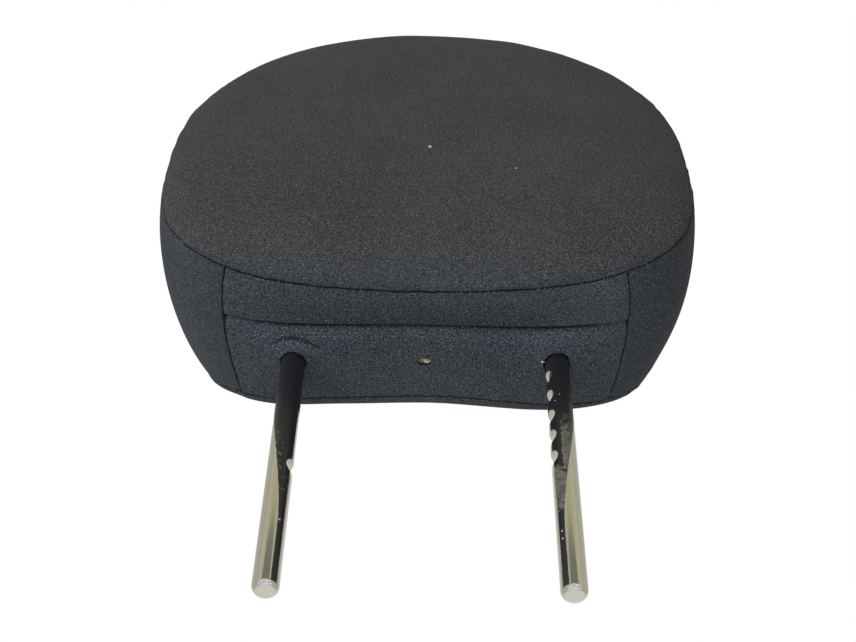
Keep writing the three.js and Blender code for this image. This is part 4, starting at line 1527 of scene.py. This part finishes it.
def notch_cutter(bar, radius, post):
    """A round bar across the post for each notch, which is a shallow milled groove"""
    size = (bar.notch_height**2 / 4 + bar.notch_depth**2) / (2 * bar.notch_depth)
    across = post - radius + bar.notch_depth - size
    heights = [(1, bar.right_notch + i * bar.notch_pitch) for i in range(bar.notch_count)]
    heights.append((-1, bar.left_notch))
    tools = []
    for side, height in heights:
        bpy.ops.mesh.primitive_cylinder_add(
            vertices=96,
            radius=size,
            depth=2 * bar.diameter,
            location=(side * across, 0, height),
            rotation=(math.pi / 2, 0, 0),
        )
        tools.append(bpy.context.active_object)
    join_into(tools[0], tools[1:])
    bpy.ops.object.transform_apply(location=True, rotation=True, scale=True)
    return tools[0]


def finish_hidden_pieces():
    """Finishes for the frame's own pieces that stay as they are"""
    strip, felt = strip_material(), felt_material()
    finishes = {
        "closure_hook_strip": strip,
        "closure_catch_strip": strip,
        "post_seal_left": felt,
        "post_seal_right": felt,
    }
    for node, material in finishes.items():
        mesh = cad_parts[node].data
        mesh.materials.clear()
        mesh.materials.append(material)


# Stage
CAMERA_PLACE = (0.00603, -0.49908, -0.43762)
CAMERA_TURN = (141.179, -0.7815, -0.3925)
SENSOR_WIDTH = 36
FLOOR_DROP = 0.0006
FLOOR_SIZE = 40
FLOOR_GLOW = 0.56
LAMP_AIM = (0, 0, 0.26)
# Each lamp: name, place, the setting that powers it and its share, size and tint
LAMPS = (
    ("key", (-0.94, -1.12, -0.38), "key", 1.0, 0.9, (0.97, 0.98, 1)),
    ("fill", (0.3, -1.4, 0.55), "fill", 0.7, 1.0, (1, 0.97, 0.88)),
    ("low", (0.05, -0.35, -0.9), "fill", 2.1, 0.9, (0.9, 0.96, 1)),
    ("rear", (0.9, 1.2, 0.9), "fill", 2.0, 1.0, (1, 1, 1)),
)


def floor_material(tint):
    """Pale from above. From below, to the lamps and in the plating, it isn't there"""
    material, tree, shader, solid = new_material("floor")
    pale = mix_colour(noise(solid, 30.0, 4.0), shade(tint, 0.985), shade(tint, 1.0))
    feed(shader, "Base Color", pale)
    feed(shader, "Roughness", 0.85)
    behind = put(tree, "ShaderNodeNewGeometry").outputs["Backfacing"]
    ray = put(tree, "ShaderNodeLightPath").outputs
    gone = larger(larger(behind, ray["Is Shadow Ray"]), ray["Is Glossy Ray"])
    seen = times(ray["Is Camera Ray"], FLOOR_GLOW)
    glow = put(tree, "ShaderNodeEmission", {"Color": (1, 1, 1, 1), "Strength": seen}).outputs[0]
    lit = put(tree, "ShaderNodeAddShader", {0: shader.outputs[0], 1: glow}).outputs[0]
    clear = put(tree, "ShaderNodeBsdfTransparent").outputs[0]
    mixed = put(tree, "ShaderNodeMixShader", {0: gone, 1: lit, 2: clear})
    feed(tree.nodes["Material Output"], "Surface", mixed.outputs[0])
    return material


# The room as the plating shows it: turns from the front round to the back, and colour
ROOM_BANDS = (
    (0.0, (0.44, 0.42, 0.27, 1)),
    (0.2, (0.46, 0.44, 0.29, 1)),
    (0.3, (0.52, 0.49, 0.33, 1)),
    (0.38, (0.42, 0.41, 0.32, 1)),
    (0.52, (0.44, 0.43, 0.35, 1)),
    (0.7, (0.46, 0.45, 0.38, 1)),
    (0.79, (0.66, 0.64, 0.57, 1)),
    (1.0, (0.72, 0.7, 0.64, 1)),
)
OVERHEAD = (0.19, 0.19, 0.15, 1)
# The window's direction, and the colours of its frame and panes
WINDOW = (0.0, -0.72, -0.69)
WINDOW_FRAME = (0.1, 0.11, 0.15, 1)
WINDOW_PANES = (0.94, 0.97, 1, 1)
# The even light's colour from below and from above
SKY_LOW = (0.84, 0.95, 1.1, 1)
SKY_HIGH = (0.86, 0.84, 0.77, 1)


def make_world(studio):
    """White to the camera, a banded room in the plating, and even light on all else"""
    world = bpy.data.worlds.new("room")
    bpy.context.scene.world = world
    world.use_nodes = True
    tree = world.node_tree
    tree.nodes.clear()
    ray = put(tree, "ShaderNodeLightPath").outputs
    direction = put(tree, "ShaderNodeTexCoord").outputs["Generated"]
    split = parts_of(direction)
    azimuth = work("ARCTAN2", absolute(split[0]), times(split[1], -1.0))
    turn = over(azimuth, math.pi)
    ramp = put(tree, "ShaderNodeValToRGB", {0: turn})
    stops = ramp.color_ramp.elements
    while len(stops) < len(ROOM_BANDS):
        stops.new(0.5)
    for stop, (place, tint) in zip(stops, ROOM_BANDS):
        stop.position = place
        stop.color = tint
    grow = between(split[2], 0.674, 0.704, 1.0, 0.0)
    wedge = times(grow, between(minus(turn, times(grow, 0.16)), -0.02, 0.02, 1.0, 0.0))
    room = mix_colour(wedge, ramp.outputs[0], OVERHEAD)
    toward = vector_work("DOT_PRODUCT", {0: direction, 1: WINDOW}, "Value")
    glass = mix_colour(between(noise(direction, 9.0, 1.0), 0.4, 0.52), WINDOW_FRAME, WINDOW_PANES)
    room = mix_colour(between(toward, 0.5, 0.62), room, glass)
    seen = mix_colour(ray["Is Glossy Ray"], (1, 1, 1, 1), room)
    sky = mix_colour(between(split[2], -0.7, 0.7), SKY_LOW, SKY_HIGH)
    sky = vector_work("SCALE", {0: sky, 3: between(split[0], -1.0, 1.0, 1.03, 0.57)})
    even = put(tree, "ShaderNodeBackground", {"Color": sky, "Strength": studio.room}).outputs[0]
    white = put(tree, "ShaderNodeBackground", {"Color": seen, "Strength": 1.0}).outputs[0]
    shown = larger(larger(ray["Is Camera Ray"], ray["Is Glossy Ray"]), ray["Is Transmission Ray"])
    mixed = put(tree, "ShaderNodeMixShader", {0: shown, 1: even, 2: white})
    put(tree, "ShaderNodeOutputWorld", {"Surface": mixed.outputs[0]})


def add_lamp(name, place, power, size, tint):
    """A soft lamp turned to the cushion's middle, and not seen in the plating"""
    bpy.ops.object.light_add(type="AREA", location=place)
    lamp = bpy.context.active_object
    lamp.name = name
    lamp.rotation_euler = (Vector(LAMP_AIM) - Vector(place)).to_track_quat("-Z", "Y").to_euler()
    lamp.data.energy = power
    lamp.data.size = size
    lamp.data.color = tint
    lamp.visible_glossy = False


def make_stage():
    """Floor, world, lamps and camera"""
    scene = bpy.context.scene
    studio = scene.headrest_studio
    bpy.ops.object.select_all(action="DESELECT")
    bpy.ops.mesh.primitive_plane_add(size=FLOOR_SIZE)
    floor = bpy.context.active_object
    floor.name = floor.data.name = "floor"
    bpy.ops.object.mode_set(mode="EDIT")
    bpy.ops.mesh.select_all(action="SELECT")
    bpy.ops.transform.translate(value=(0, 0, -FLOOR_DROP))
    bpy.ops.object.mode_set(mode="OBJECT")
    floor.data.materials.append(floor_material(studio.floor))
    make_world(studio)
    for name, place, setting, share, size, tint in LAMPS:
        add_lamp(name, place, getattr(studio, setting) * share, size, tint)
    bpy.ops.object.camera_add(location=CAMERA_PLACE, rotation=[math.radians(a) for a in CAMERA_TURN])
    camera = bpy.context.active_object
    camera.data.lens = studio.focal
    camera.data.sensor_width = SENSOR_WIDTH
    camera.data.sensor_fit = "HORIZONTAL"
    camera.data.clip_start = 0.01
    scene.camera = camera
    scene.view_settings.view_transform = "Standard"


class HEADREST_OT_cover(bpy.types.Operator):
    """Sew the cover: face, side band, back, flap and lower piece"""

    bl_idname = "headrest.cover"
    bl_label = "Cover"

    def execute(self, context):
        make_cover()
        return {"FINISHED"}


class HEADREST_OT_foam(bpy.types.Operator):
    """Mould the foam core"""

    bl_idname = "headrest.foam"
    bl_label = "Foam core"

    def execute(self, context):
        make_foam()
        return {"FINISHED"}


class HEADREST_OT_bar(bpy.types.Operator):
    """Bend and notch the plated bar"""

    bl_idname = "headrest.bar"
    bl_label = "Plated bar"

    def execute(self, context):
        make_bar()
        return {"FINISHED"}


class HEADREST_OT_fittings(bpy.types.Operator):
    """Finish the closure strips and the seals"""

    bl_idname = "headrest.fittings"
    bl_label = "Strips and seals"

    def execute(self, context):
        finish_hidden_pieces()
        return {"FINISHED"}


class HEADREST_OT_stage(bpy.types.Operator):
    """Set up floor, light and camera"""

    bl_idname = "headrest.stage"
    bl_label = "Stage"

    def execute(self, context):
        make_stage()
        return {"FINISHED"}


OPERATORS = (
    HEADREST_OT_stage,
    HEADREST_OT_cover,
    HEADREST_OT_foam,
    HEADREST_OT_bar,
    HEADREST_OT_fittings,
)
SETTINGS = {
    "headrest_cushion": CushionSizes,
    "headrest_cover": CoverMaking,
    "headrest_looks": HeadrestLooks,
    "headrest_bar": BarSizes,
    "headrest_studio": StudioSettings,
}


class HEADREST_PT_panel(bpy.types.Panel):
    """Lists the headrest's pieces and settings"""

    bl_label = "Car headrest"
    bl_space_type = "VIEW_3D"
    bl_region_type = "UI"
    bl_category = "Headrest"

    def draw(self, context):
        for operator in OPERATORS:
            self.layout.operator(operator.bl_idname)
        for name, group in SETTINGS.items():
            box = self.layout.box()
            for field in group.__annotations__:
                box.prop(getattr(context.scene, name), field)


CLASSES = (*SETTINGS.values(), *OPERATORS, HEADREST_PT_panel)


def register():
    for item in CLASSES:
        bpy.utils.register_class(item)
    for name, group in SETTINGS.items():
        setattr(bpy.types.Scene, name, PointerProperty(type=group))


def unregister():
    for name in SETTINGS:
        delattr(bpy.types.Scene, name)
    for item in reversed(CLASSES):
        bpy.utils.unregister_class(item)


def main():
    """Makes everything, in order"""
    register()
    bpy.ops.headrest.stage()
    bpy.ops.headrest.cover()
    bpy.ops.headrest.foam()
    bpy.ops.headrest.bar()
    bpy.ops.headrest.fittings()


if __name__ == "__main__":
    main()
